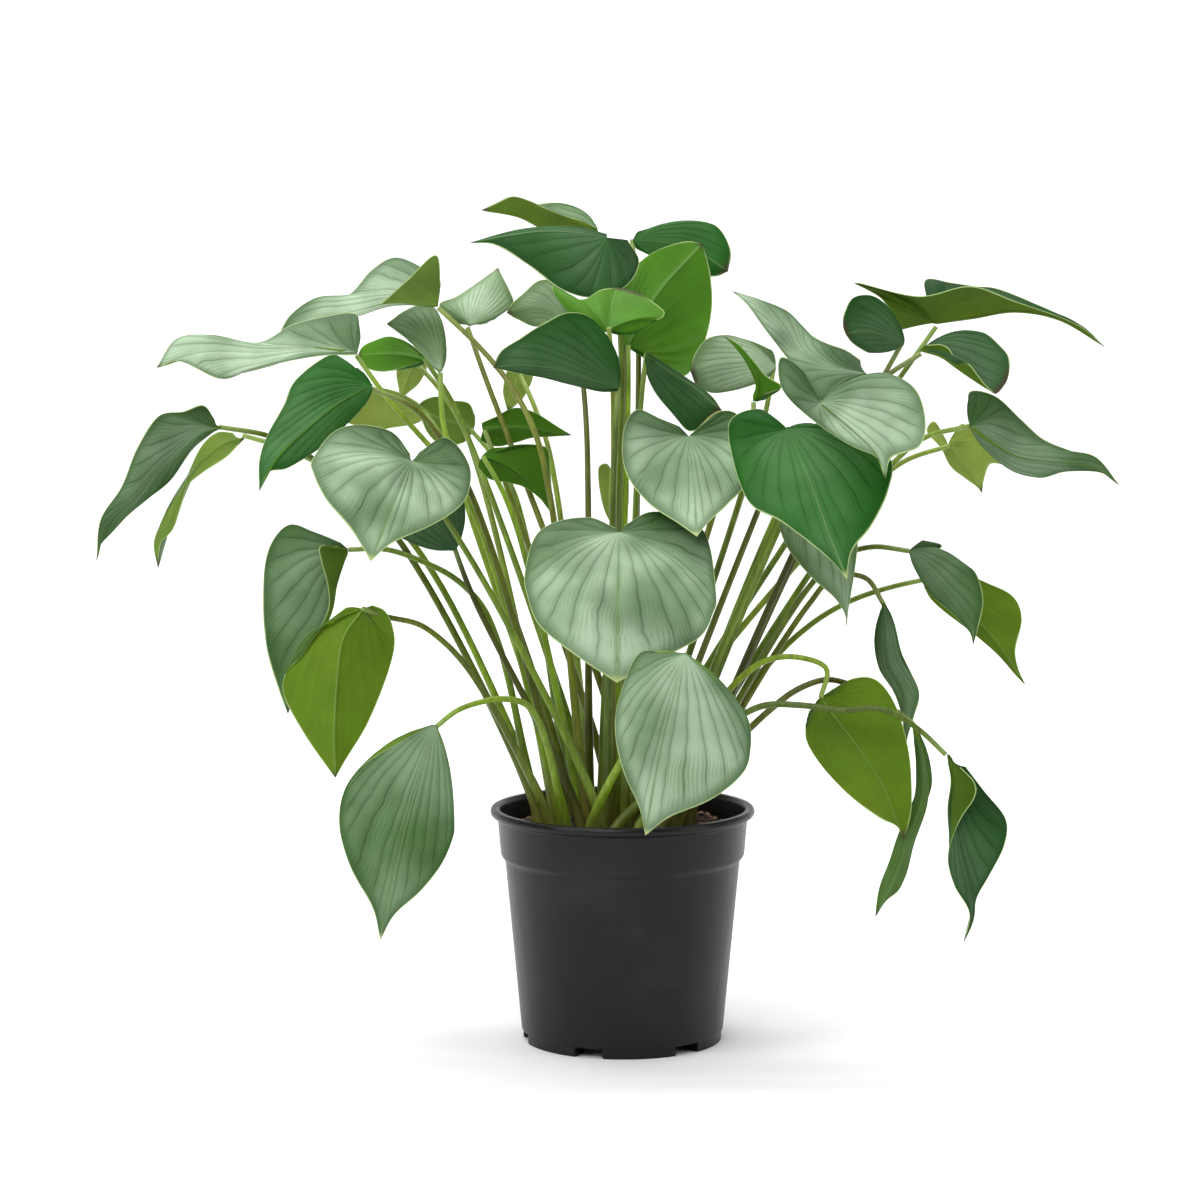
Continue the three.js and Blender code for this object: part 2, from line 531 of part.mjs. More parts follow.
    stalk: [[205, 520, 20]] },
  { name: 'leaf_39', seat: [250, 569, 80], midrib: [[280, 573, 84], [314, 578, 89], [350, 571, 94]],
    tip: [385, 550, 100], lean: [-0.6, 0.8],
    margins: [[[222, 563], [207, 588], [186, 601], [236, 590], [278, 598], [314, 586], [362, 568]],
      [[245, 582], [242, 603], [262, 601], [282, 598], [300, 596], [330, 584], [366, 567]]],
    stalk: [[243, 553, 80], [210, 510, 70]] },
  { name: 'leaf_40', seat: [238, 547, -20], midrib: [[254, 542, -28], [268, 532, -36], [284, 521, -44]],
    tip: [298, 512, -50], lean: [-0.7, 0.4],
    margins: [[[244, 551], [256, 551], [263, 545], [266, 535], [276, 536], [283, 528], [290, 519]],
      [[252, 553], [268, 560], [288, 561], [302, 550], [309, 540], [308, 525], [302, 515]]],
    stalk: [[228, 545, -20], [205, 520, -15]] },
  { name: 'leaf_41', seat: [278, 486, 34], midrib: [[292, 475, 38], [316, 461, 44], [346, 457, 51],
    [376, 453, 57]], tip: [397, 439, 60], lean: [0.5, 0.4],
    margins: [[[282, 480], [290, 471], [301, 461], [314, 451], [334, 445], [355, 450], [382, 449]],
      [[277, 499], [278, 514], [298, 510], [318, 492], [336, 476], [357, 467], [379, 461]]],
    stalk: [[230, 470, 22]] },
  { name: 'leaf_42', seat: [260, 471, 85], midrib: [[269, 461, 88], [278, 450, 91]],
    tip: [287, 433, 95], lean: [0.3, 0.3], back: true,
    margins: [[[263, 478], [271, 488], [282, 482], [295, 467], [306, 456], [294, 456], [289, 445]],
      [[258, 476], [249, 490], [243, 482], [254, 469], [262, 454], [273, 445], [284, 437]]],
    stalk: [[215, 452, 66]] },
  { name: 'leaf_43', seat: [229, 387, -30], midrib: [[241, 375, -34], [255, 358, -40], [269, 341, -46],
    [279, 324, -49]], tip: [280, 311, -50], lean: [0.4, 0.3],
    margins: [[[233, 381], [239, 371], [241, 359], [250, 348], [261, 339], [270, 330], [278, 320]],
      [[240, 395], [255, 391], [251, 384], [268, 377], [282, 369], [288, 347], [284, 325]]],
    stalk: [[210, 390, -20], [170, 380, -10]] },
  { name: 'leaf_44', seat: [242, 364, 40], midrib: [[262, 348, 42], [283, 331, 45], [300, 312, 47]],
    tip: [322, 279, 50], lean: [0.3, 0.3], back: true,
    margins: [[[251, 370], [269, 370], [291, 361], [312, 350], [319, 332], [314, 308], [316, 293]],
      [[241, 357], [247, 347], [258, 337], [270, 328], [283, 318], [300, 303], [314, 287]]],
    stalk: [[190, 350, 30], [140, 320, 20]] },
  { name: 'leaf_45', seat: [209, 344, 20], midrib: [[210, 322, 16], [213, 296, 14], [226, 270, 12]],
    tip: [226, 227, 10], lean: [0.5, 0.5],
    margins: [[[207, 337], [205, 328], [201, 314], [205, 292], [217, 273], [223, 254], [225, 239]],
      [[212, 338], [213, 329], [219, 311], [230, 290], [237, 272], [233, 255], [228, 239]]],
    stalk: [[202, 357, 18], [190, 367, 15], [172, 368, 12]] },
  { name: 'leaf_46', seat: [158, 269, -50], midrib: [[172, 250, -52], [190, 226, -55], [208, 198, -58]],
    tip: [224, 156, -60], lean: [0.15, 0.15], back: true,
    margins: [[[169, 273], [183, 284], [203, 283], [219, 261], [229, 224], [231, 186], [228, 166]],
      [[156, 263], [148, 249], [147, 234], [160, 213], [182, 190], [205, 173], [219, 166]]],
    stalk: [[164, 288, -47], [158, 297, -45], [110, 297, -35]] },
  { name: 'leaf_47', seat: [233, 247, -40], midrib: [[239, 218, -42], [239, 188, -44], [227, 155, -46],
    [219, 128, -48]], tip: [202, 94, -50], lean: [0.8, 0.8],
    margins: [[[234, 234], [235, 211], [233, 188], [225, 157], [213, 136], [206, 120], [203, 106]],
      [[240, 233], [247, 206], [243, 186], [229, 156], [228, 135], [221, 116], [210, 106]]],
    stalk: [[214, 262, -35], [157, 283, -35]] },
  { name: 'leaf_48', seat: [260, 224, -90], midrib: [[264, 202, -94], [264, 178, -98], [271, 142, -102],
    [279, 106, -106]], tip: [273, 74, -110], lean: [-0.9, 0.3], edgeOn: true,
    margins: [[[270, 213], [281, 201], [281, 189], [269, 170], [260, 143], [265, 119], [277, 97]],
      [[274, 214], [289, 194], [306, 172], [305, 151], [293, 127], [283, 109], [280, 90]]],
    stalk: [[215, 258, -85], [170, 259, -75], [110, 262, -65]] },
];

const leaves = leafRows.map(readLeaf);

// The stalks that lean most stand in the outer ring, each ring in order round the crown
function assignRoots() {
  const lean = (leaf) => Math.hypot(leaf.seat.x - crownAcross, leaf.seat.y) / (leaf.seat.z - soilTop);
  const byLean = [...leaves].sort((a, b) => lean(a) - lean(b));
  let taken = 0;
  crownRings.forEach((ring, index) => {
    const left = byLean.length - taken;
    const count = index === crownRings.length - 1 ? left : Math.min(ring.places, left);
    const members = byLean.slice(taken, taken + count);
    taken += count;
    const bearing = (leaf) => Math.atan2(leaf.seat.y, leaf.seat.x - crownAcross);
    members.sort((a, b) => bearing(a) - bearing(b));
    const step = 2 * Math.PI / count;
    let drift = 0;
    members.forEach((leaf, place) => {
      drift += (bearing(leaf) + Math.PI - place * step) / count;
    });
    members.forEach((leaf, place) => {
      const turn = place * step - Math.PI + drift;
      leaf.root = new THREE.Vector3(crownAcross + ring.radius * Math.cos(turn),
        ring.radius * Math.sin(turn), soilTop - rootDepth);
    });
  });
}

// A stalk rises straight from its hole, bends out over its reading points and ends under the blade
function stalkCurve(leaf) {
  const beneath = leaf.seat.clone().addScaledVector(leaf.seatUp, -stalkBeneath);
  const soilPoint = leaf.root.clone();
  soilPoint.z = soilTop + stalkClear;
  const rise = soilPoint.clone();
  const next = leaf.stalk.length ? leaf.stalk[leaf.stalk.length - 1] : beneath;
  rise.lerp(next, riseShare);
  rise.z += riseLift * (next.z - soilTop);
  const points = [soilPoint, rise, ...[...leaf.stalk].reverse(), beneath];
  return new THREE.CatmullRomCurve3(points, false, 'centripetal');
}

function stalkSamples(leaf) {
  const curve = stalkCurve(leaf);
  const points = [leaf.root.clone()];
  for (let k = 0; k <= stalkSteps; k += 1) {
    points.push(curve.getPointAt(k / stalkSteps));
  }
  return points;
}

function stalkRadii(leaf) {
  const radii = [leaf.baseRadius];
  for (let k = 0; k <= stalkSteps; k += 1) {
    const share = k / stalkSteps;
    radii.push(share < sheathShare
      ? THREE.MathUtils.lerp(leaf.baseRadius, stalkMiddleRadius, share / sheathShare)
      : THREE.MathUtils.lerp(stalkMiddleRadius, stalkTopRadius, (share - sheathShare) / (1 - sheathShare)));
  }
  return radii;
}

function nearestOnSegments(a, b, c, d) {
  const u = b.clone().sub(a);
  const v = d.clone().sub(c);
  const w = a.clone().sub(c);
  const uu = u.dot(u);
  const uv = u.dot(v);
  const vv = v.dot(v);
  const uw = u.dot(w);
  const vw = v.dot(w);
  const spread = uu * vv - uv * uv;
  let s = spread > 1e-9 ? (uv * vw - vv * uw) / spread : 0;
  s = Math.min(Math.max(s, 0), 1);
  let t = (uv * s + vw) / vv;
  t = Math.min(Math.max(t, 0), 1);
  s = Math.min(Math.max((uv * t - uw) / uu, 0), 1);
  return { s, t, gap: a.clone().addScaledVector(u, s).sub(c.clone().addScaledVector(v, t)) };
}

// Stalks that run into one another are bent apart a little at a time
const bendRounds = 60;
const bendReach = 150;
const bendPush = 0.3;
const bendEase = 0.1;

function bendStalksClear() {
  for (let round = 0; round < bendRounds; round += 1) {
    const shifts = leaves.map((leaf) => leaf.path.map(() => new THREE.Vector3()));
    let busy = false;
    for (let i = 0; i < leaves.length; i += 1) {
      for (let j = i + 1; j < leaves.length; j += 1) {
        for (let p = 1; p < leaves[i].path.length - 1; p += 1) {
          for (let q = 1; q < leaves[j].path.length - 1; q += 1) {
            const a = leaves[i].path[p];
            const c = leaves[j].path[q];
            if (a.distanceTo(c) > bendReach) {
              continue;
            }
            const near = nearestOnSegments(a, leaves[i].path[p + 1], c, leaves[j].path[q + 1]);
            const need = leaves[i].radii[p] + leaves[j].radii[q] + stalkGap;
            const gap = near.gap.length();
            if (gap >= need) {
              continue;
            }
            busy = true;
            const push = near.gap.clone();
            if (gap < 1e-6) {
              push.set(0, 1, 0);
            }
            push.setLength((need - gap) * bendPush);
            shifts[i][p].addScaledVector(push, 1 - near.s);
            shifts[i][p + 1].addScaledVector(push, near.s);
            shifts[j][q].addScaledVector(push, near.t - 1);
            shifts[j][q + 1].addScaledVector(push, -near.t);
          }
        }
      }
    }
    leaves.forEach((leaf, i) => {
      const last = leaf.path.length - 1;
      for (let k = 2; k < last; k += 1) {
        leaf.path[k].add(shifts[i][k]);
      }
      const smooth = leaf.path.map((point) => point.clone());
      for (let k = 2; k < last; k += 1) {
        const middle = leaf.path[k - 1].clone().add(leaf.path[k + 1]).multiplyScalar(0.5);
        const wanted = leaf.rest[k - 1].clone().add(leaf.rest[k + 1]).multiplyScalar(0.5).sub(leaf.rest[k]);
        smooth[k].lerp(middle.sub(wanted), bendEase);
      }
      leaf.path = smooth;
    });
    if (!busy) {
      break;
    }
  }
}

// Closed surface from points and triangles
function closedGeometry(points, faces) {
  const geometry = new THREE.BufferGeometry();
  const flat = points.flatMap((point) => [point.x, point.y, point.z]);
  geometry.setAttribute('position', new THREE.Float32BufferAttribute(flat, 3));
  geometry.setIndex(faces.flat());
  return geometry;
}

function toSolid(geometry) {
  const bare = geometry.clone();
  bare.deleteAttribute('normal');
  bare.deleteAttribute('uv');
  const merged = mergeVertices(bare, 1e-4);
  return new wasm.Manifold(new wasm.Mesh({
    numProp: 3,
    vertProperties: new Float32Array(merged.attributes.position.array),
    triVerts: new Uint32Array(merged.index.array),
  }));
}

function toMesh(solid, name, colour, roughness) {
  const shape = solid.getMesh();
  const geometry = new THREE.BufferGeometry();
  geometry.setAttribute('position', new THREE.BufferAttribute(new Float32Array(shape.vertProperties), 3));
  geometry.setIndex(new THREE.BufferAttribute(new Uint32Array(shape.triVerts), 1));
  const material = new THREE.MeshStandardMaterial({ color: colour, roughness, metalness: 0 });
  const mesh = new THREE.Mesh(geometry, material);
  mesh.name = name;
  return mesh;
}

// Rings of points round a chain of places, with the faces between them and a cap on the first
function tubeFaces(path, radii, sides) {
  const points = [];
  const faces = [];
  const across = new THREE.Vector3(1, 0, 0);
  path.forEach((place, k) => {
    const before = path[Math.max(k - 1, 0)];
    const after = path[Math.min(k + 1, path.length - 1)];
    const ahead = after.clone().sub(before).normalize();
    across.addScaledVector(ahead, -across.dot(ahead)).normalize();
    const over = ahead.clone().cross(across);
    for (let n = 0; n < sides; n += 1) {
      const turn = 2 * Math.PI * n / sides;
      points.push(place.clone().addScaledVector(across, radii[k] * Math.cos(turn))
        .addScaledVector(over, radii[k] * Math.sin(turn)));
    }
    if (k > 0) {
      const low = (k - 1) * sides;
      const high = k * sides;
      for (let n = 0; n < sides; n += 1) {
        const m = (n + 1) % sides;
        faces.push([low + n, low + m, high + m], [low + n, high + m, high + n]);
      }
    }
  });
  for (let n = 1; n < sides - 1; n += 1) {
    faces.push([0, n + 1, n]);
  }
  return { points, faces };
}

function plainTube(path, radius, sides) {
  const { points, faces } = tubeFaces(path, path.map(() => radius), sides);
  const top = (path.length - 1) * sides;
  for (let n = 1; n < sides - 1; n += 1) {
    faces.push([top, top + n, top + n + 1]);
  }
  return closedGeometry(points, faces);
}

function sheetNormals(sheet, faces) {
  const open = closedGeometry(sheet, faces);
  open.computeVertexNormals();
  return sheet.map((point, k) => new THREE.Vector3().fromBufferAttribute(open.attributes.normal, k));
}

// One sheet of points for the blade: point 0 is the seat, the rest lie in rings round it
function bladeSheet(leaf) {
  const { rings, veins } = leaf;
  const sheet = [leaf.pointAt(leaf, 0, 0, 1)];
  const rises = [0];
  const at = {};
  const index = (side, ring, vein) => (ring === 0 ? 0 : at[`${vein === veins ? 0 : side}_${ring}_${vein}`]);
  for (let side = 0; side < 2; side += 1) {
    for (let vein = 0; vein <= veins - side; vein += 1) {
      for (let ring = 1; ring <= rings; ring += 1) {
        at[`${side}_${ring}_${vein}`] = sheet.length;
        sheet.push(leaf.pointAt(leaf, side, ring / rings, vein / veins));
        rises.push(leaf.riseAt(leaf, side, ring / rings, vein / veins));
      }
    }
  }
  const faces = [];
  const add = (side, a, b, c) => faces.push(side === 0 ? [a, b, c] : [a, c, b]);
  for (let side = 0; side < 2; side += 1) {
    for (let vein = 0; vein < veins; vein += 1) {
      add(side, 0, index(side, 1, vein), index(side, 1, vein + 1));
      for (let ring = 1; ring < rings; ring += 1) {
        const a = index(side, ring, vein);
        const b = index(side, ring + 1, vein);
        const c = index(side, ring + 1, vein + 1);
        const d = index(side, ring, vein + 1);
        add(side, a, b, c);
        add(side, a, c, d);
      }
    }
  }
  sheetNormals(sheet, faces).forEach((normal, k) => sheet[k].addScaledVector(normal, rises[k]));
  const midrib = [index(0, 1, veins - 1), index(0, 1, veins), index(1, 1, veins - 1)];
  return { sheet, faces, midrib };
}

// Both faces of the blade and its rim, split into triangles alike
function thicken(sheet, faces, half) {
  const normals = sheetNormals(sheet, faces);
  const count = sheet.length;
  const upper = sheet.map((point, k) => point.clone().addScaledVector(normals[k], half));
  const lower = sheet.map((point, k) => point.clone().addScaledVector(normals[k], -half));
  const edges = new Map();
  faces.forEach(([a, b, c]) => {
    [[a, b], [b, c], [c, a]].forEach(([from, to]) => {
      const back = `${to}_${from}`;
      if (edges.has(back)) {
        edges.delete(back);
      } else {
        edges.set(`${from}_${to}`, [from, to]);
      }
    });
  });
  const all = [...faces];
  faces.forEach(([a, b, c]) => all.push([a + count, c + count, b + count]));
  edges.forEach(([from, to]) => {
    all.push([to, from, from + count], [to, from + count, to + count]);
  });
  return { points: [...upper, ...lower], faces: all };
}

// Strip of triangles between two loops of points, each loop running its own way round
function bridge(points, first, second) {
  let start = 0;
  let least = Infinity;
  second.forEach((unused, turn) => {
    let sum = 0;
    first.forEach((place, k) => {
      const partner = second[(turn + Math.round(k * second.length / first.length)) % second.length];
      sum += points[place].distanceToSquared(points[partner]);
    });
    if (sum < least) {
      least = sum;
      start = turn;
    }
  });
  const faces = [];
  let i = 0;
  let j = 0;
  while (i < first.length || j < second.length) {
    const a = first[i % first.length];
    const b = second[(start + j) % second.length];
    const nextA = first[(i + 1) % first.length];
    const nextB = second[(start + j + 1) % second.length];
    const alongFirst = (i + 1) / first.length <= (j + 1) / second.length;
    if (j === second.length || (i < first.length && alongFirst)) {
      faces.push([a, nextA, b]);
      i += 1;
    } else {
      faces.push([a, nextB, b]);
      j += 1;
    }
  }
  return faces;
}

// A leaf is one skin: the stalk opens into the underside of the blade beside the midrib
function leafSolid(leaf) {
  const { sheet, faces: sheetFaces, midrib } = bladeSheet(leaf);
  const blade = thicken(sheet, sheetFaces, bladeThickness / 2);
  const count = sheet.length;
  const [left, middle, right] = midrib;
  const opening = new Set([
    [count, middle + count, left + count].sort().join('_'),
    [count, right + count, middle + count].sort().join('_'),
  ]);
  const stalk = tubeFaces(leaf.path, leaf.radii, stalkSides);
  const shift = blade.points.length;
  const points = [...blade.points, ...stalk.points];
  const faces = blade.faces.filter((face) => !opening.has([...face].sort().join('_')));
  stalk.faces.forEach((face) => faces.push(face.map((k) => k + shift)));
  const top = shift + (leaf.path.length - 1) * stalkSides;
  const ring = [];
  for (let n = 0; n < stalkSides; n += 1) {
    ring.push(top + n);
  }
  const hole = [count, left, middle, right].map((k, n) => (n === 0 ? k : k + count));
  faces.push(...bridge(points, ring, hole));
  return toSolid(closedGeometry(points, faces));
}

// Pot
function latheSolid(profile, segments) {
  const points = profile.map(([radius, height]) => new THREE.Vector2(radius, height));
  const geometry = new THREE.LatheGeometry(points, segments);
  geometry.rotateX(Math.PI / 2);
  return toSolid(geometry);
}

function potWallProfile() {
  const collarBottom = potHeight - collarDrop;
  const inner = (radius) => radius - potWall;
  return [
    [0, footHeight],
    [bodyBottomRadius - footInset, footHeight],
    [bodyBottomRadius, footHeight + 1.5],
    [bodyTopRadius, collarBottom - collarStep],
    [collarBottomRadius, collarBottom],
    [collarTopRadius, potHeight - lipHeight - 2],
    [rimRadius - 2.5, potHeight - lipHeight],
    [rimRadius, potHeight - lipHeight / 2],
    [rimRadius - 2, potHeight],
    [collarTopRadius, potHeight],
    [inner(collarTopRadius), potHeight - lipHeight / 2],
    [inner(collarBottomRadius), collarBottom],
    [inner(bodyTopRadius), collarBottom - collarStep],
    [inner(bodyBottomRadius), footHeight + floorThickness],
    [0, footHeight + floorThickness],
  ];
}

function footSolid(turn) {
  const outer = bodyBottomRadius - footInset;
  const half = THREE.MathUtils.degToRad(footSweep / 2);
  const shape = new THREE.Shape();
  shape.absarc(0, 0, outer, turn - half, turn + half, false);
  shape.absarc(0, 0, outer - footWidth, turn + half, turn - half, true);
  shape.closePath();
  const depth = footHeight + footSunk;
  const geometry = new THREE.ExtrudeGeometry(shape, { depth, bevelEnabled: false, curveSegments: footSteps });
  return toSolid(geometry);
}

function drainSolid(turn) {
  const geometry = new THREE.CylinderGeometry(drainRadius, drainRadius, 3 * floorThickness, 10);
  geometry.rotateX(Math.PI / 2);
  geometry.translate(drainRing * Math.cos(turn), drainRing * Math.sin(turn), footHeight + floorThickness / 2);
  return toSolid(geometry);
}

function potSolid() {
  let pot = latheSolid(potWallProfile(), potSegments);
  for (let n = 0; n < footCount; n += 1) {
    const turn = THREE.MathUtils.degToRad(firstFootTurn - 90 + n * 360 / footCount);
    pot = pot.add(footSolid(turn));
  }
  for (let n = 0; n < drainCount; n += 1) {
    pot = pot.subtract(drainSolid(2 * Math.PI * (n + 0.5) / drainCount));
  }
  return pot;
}

// Soil: fills the pot and has one plain hole for each stalk
function soilSolid() {
  const floor = footHeight + floorThickness;
  const innerAt = (height) => {
    const share = (height - floor) / (potHeight - collarDrop - collarStep - floor);
    return THREE.MathUtils.lerp(bodyBottomRadius, bodyTopRadius, Math.min(share, 1)) - potWall - soilGap;
  };
  const edge = soilTop - soilSag;
  let soil = latheSolid([
    [0, floor + soilGap],
    [innerAt(floor), floor + soilGap],
    [innerAt(edge), edge],
    [soilBrimRadius, soilTop - soilBrimDrop],
    [soilFlatRadius, soilTop],
    [0, soilTop],
  ], soilSegments);
  leaves.forEach((leaf) => {
    const radius = leaf.baseRadius + rootGap;
    const low = leaf.root.clone();
    low.z -= soilGap;
    const high = leaf.root.clone();
    high.z = soilTop + 5;
    soil = soil.subtract(toSolid(plainTube([low, high], radius, stalkSides)));
  });
  return soil;
}

assignRoots();
leaves.forEach((leaf) => {
  leaf.path = stalkSamples(leaf);
  leaf.radii = stalkRadii(leaf);
  leaf.rest = leaf.path.map((point) => point.clone());
});
bendStalksClear();

const plant = new THREE.Group();
plant.name = 'emerald_gem_homalomena';
plant.add(toMesh(potSolid(), 'pot', potColour, potRoughness));
plant.add(toMesh(soilSolid(), 'soil', soilColour, soilRoughness));
leaves.forEach((leaf) => {
  plant.add(toMesh(leafSolid(leaf), leaf.name, leaf.colour, leafRoughness));
});

export default plant;
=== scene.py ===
import math
import random
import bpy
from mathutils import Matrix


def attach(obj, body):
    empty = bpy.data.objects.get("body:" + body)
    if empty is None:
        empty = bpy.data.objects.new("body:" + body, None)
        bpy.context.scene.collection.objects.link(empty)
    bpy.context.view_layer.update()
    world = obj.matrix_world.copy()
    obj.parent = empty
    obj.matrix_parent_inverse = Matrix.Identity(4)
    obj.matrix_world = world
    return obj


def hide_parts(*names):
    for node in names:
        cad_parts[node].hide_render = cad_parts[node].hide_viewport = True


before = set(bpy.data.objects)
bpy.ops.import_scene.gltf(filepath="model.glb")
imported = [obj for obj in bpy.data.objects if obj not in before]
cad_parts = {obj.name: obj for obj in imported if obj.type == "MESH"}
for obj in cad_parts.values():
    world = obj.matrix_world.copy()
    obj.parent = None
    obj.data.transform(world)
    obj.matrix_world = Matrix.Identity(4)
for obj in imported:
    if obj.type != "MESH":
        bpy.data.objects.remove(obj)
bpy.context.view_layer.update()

from types import SimpleNamespace

import bmesh
import bpy
import numpy as np
from mathutils import Matrix, Vector, noise

mm = 0.001


# Objects and points round a circle

def addObject(name, data):
    item = bpy.data.objects.new(name, data)
    bpy.context.collection.objects.link(item)
    return item


def onCircle(radius, turn, height):
    return radius * math.cos(turn), radius * math.sin(turn), height


def circle(radius, height, count):
    return [onCircle(radius, 2 * math.pi * n / count, height) for n in range(count)]


# Node helpers shared by the materials and the geometry trees

def feed(tree, node, inputs):
    # An input takes a link from another node's output, or else a plain value
    for name, value in inputs.items():
        if isinstance(value, bpy.types.NodeSocket):
            tree.links.new(value, node.inputs[name])
        else:
            node.inputs[name].default_value = value


def addNode(tree, kind, inputs=None, **settings):
    node = tree.nodes.new(kind)
    for name, value in settings.items():
        setattr(node, name, value)
    feed(tree, node, inputs or {})
    return node


def maths(tree, operation, first, second=0.0, third=0.0, clamp=False):
    values = {0: first, 1: second, 2: third}
    return addNode(tree, "ShaderNodeMath", values, operation=operation, use_clamp=clamp).outputs[0]


def times(tree, first, *others):
    for other in others:
        first = maths(tree, "MULTIPLY", first, other)
    return first


def scaled(tree, value, spread, low):
    return maths(tree, "MULTIPLY_ADD", value, spread, low)


def restOf(tree, value):
    return maths(tree, "SUBTRACT", 1, value)


def liftTo(tree, value, least):
    # 0 becomes the least value and 1 stays
    return scaled(tree, value, 1 - least, least)


def fade(tree, value, low, high):
    # 0 below low, 1 above high, smooth between; also falls when low is the larger
    limits = {"Value": value, "From Min": low, "From Max": high}
    return addNode(tree, "ShaderNodeMapRange", limits, interpolation_type="SMOOTHSTEP").outputs["Result"]


def mixColour(tree, share, first, second, blend="MIX"):
    node = addNode(tree, "ShaderNodeMix", data_type="RGBA", blend_type=blend)
    for name, value in (("Factor_Float", share), ("A_Color", first), ("B_Color", second)):
        socket = next(s for s in node.inputs if s.identifier == name)
        if isinstance(value, bpy.types.NodeSocket):
            tree.links.new(value, socket)
        else:
            socket.default_value = value if name == "Factor_Float" else (*value, 1)
    return next(s for s in node.outputs if s.identifier == "Result_Color")


def shaded(tree, colour, shade):
    grey = addNode(tree, "ShaderNodeCombineColor", {0: shade, 1: shade, 2: shade}).outputs[0]
    return mixColour(tree, 1.0, colour, grey, "MULTIPLY")


def readAttribute(tree, name, output="Fac"):
    return addNode(tree, "ShaderNodeAttribute", attribute_name=name).outputs[output]


def objectNoise(tree, scale, detail=3, stretch=(1, 1, 1)):
    place = addNode(tree, "ShaderNodeTexCoord").outputs["Object"]
    place = addNode(tree, "ShaderNodeMapping", {"Vector": place, "Scale": stretch}).outputs[0]
    inputs = {"Vector": place, "Scale": scale, "Detail": detail}
    return addNode(tree, "ShaderNodeTexNoise", inputs).outputs["Fac"]


def noiseBand(tree, scale, detail, spread, low, stretch=(1, 1, 1)):
    return scaled(tree, objectNoise(tree, scale, detail, stretch), spread, low)


def noiseFade(tree, scale, detail, low, high):
    return fade(tree, objectNoise(tree, scale, detail), low, high)


def cosineWave(tree, value, waves):
    # Between 0 and 1, and 1 at whole numbers
    wave = maths(tree, "COSINE", maths(tree, "MULTIPLY", value, 2 * math.pi * waves))
    return scaled(tree, wave, 0.5, 0.5)


def addBump(tree, shader, height, distance, strength):
    bump = addNode(tree, "ShaderNodeBump", {"Height": height, "Distance": distance, "Strength": strength})
    tree.links.new(bump.outputs["Normal"], shader.inputs["Normal"])


def startMaterial(name):
    material = bpy.data.materials.new(name)
    material.use_nodes = True
    return material, material.node_tree, material.node_tree.nodes["Principled BSDF"]


def coat(tree, shader, colour, roughness, specular=0.5):
    feed(tree, shader, {"Base Color": colour, "Roughness": roughness, "Specular IOR Level": specular})


# Camera, light and backdrop

photoCamera = dict(across=-0.018, distance=3.0, height=0.696, tiltDown=6.5, lens=113.94, sensor=36)

softLights = [
    dict(name="lightOverhead", place=(-0.3, -0.2, 2.4), aim=(0, 0, 0.3), size=(2.6, 2.2), power=46),
    dict(name="lightLeft", place=(-2.1, -1.3, 1.4), aim=(0, 0, 0.35), size=(1.1, 1.8), power=27),
    dict(name="lightRight", place=(2.2, -0.9, 1.2), aim=(0, 0, 0.3), size=(0.6, 1.8), power=13),
    dict(name="lightFront", place=(-0.7, -2.9, 2.5), aim=(0, 0, 0.4), size=(1.8, 1.2), power=46),
    dict(name="lightBackdrop", place=(0, 1.4, 3.4), aim=(0, 4.6, 0.7), size=(5, 0.8), power=260),
]

skyStrength = 0.15

backdrop = dict(
    flat=4.2, sweepRadius=1.4, sweepSteps=16, height=2.0, segments=96,
    colour=(0.86, 0.86, 0.86), roughness=0.9, specular=0.1,
)


def placeCamera():
    data = bpy.data.cameras.new("photoCamera")
    data.sensor_width = photoCamera["sensor"]
    data.lens = photoCamera["lens"]
    camera = addObject("photoCamera", data)
    camera.location = (photoCamera["across"], -photoCamera["distance"], photoCamera["height"])
    camera.rotation_euler = (math.radians(90 - photoCamera["tiltDown"]), 0, 0)
    bpy.context.scene.camera = camera


def placeLights():
    # The lights themselves stay out of sight, also from behind
    for light in softLights:
        data = bpy.data.lights.new(light["name"], "AREA")
        data.shape = "RECTANGLE"
        data.size, data.size_y = light["size"]
        data.energy = light["power"]
        lamp = addObject(light["name"], data)
        lamp.location = light["place"]
        lamp.visible_camera = False
        towards = Vector(light["aim"]) - Vector(light["place"])
        lamp.rotation_euler = towards.to_track_quat("-Z", "Y").to_euler()
    world = bpy.data.worlds.new("studioAir")
    world.use_nodes = True
    sky = world.node_tree.nodes["Background"]
    feed(world.node_tree, sky, {"Color": (1, 1, 1, 1), "Strength": skyStrength})
    bpy.context.scene.world = world
    bpy.context.scene.view_settings.view_transform = "Standard"


def makeBackdropMaterial():
    material, tree, shader = startMaterial("paleFloor")
    coat(tree, shader, (*backdrop["colour"], 1), backdrop["roughness"], backdrop["specular"])
    return material


def layBackdrop(material):
    # Round floor that sweeps up on every side, so that no horizon shows from anywhere
    sweep, steps, count = backdrop["sweepRadius"], backdrop["sweepSteps"], backdrop["segments"]
    line = [(backdrop["flat"], 0)]
    for step in range(1, steps + 1):
        turn = math.radians(90 * step / steps)
        line.append((backdrop["flat"] + sweep * math.sin(turn), sweep * (1 - math.cos(turn))))
    line.append((line[-1][0], backdrop["height"]))
    points = [(0, 0, 0)]
    for radius, height in line:
        points += circle(radius, height, count)
    faces = [(0, 1 + n, 1 + (n + 1) % count) for n in range(count)]
    for ring in range(len(line) - 1):
        low, high = 1 + ring * count, 1 + (ring + 1) * count
        faces += [(low + n, high + n, high + (n + 1) % count, low + (n + 1) % count) for n in range(count)]
    mesh = bpy.data.meshes.new("backdrop")
    mesh.from_pydata(points, [], faces)
    mesh.shade_smooth()
    mesh.materials.append(material)
    sheet = addObject("backdrop", mesh)


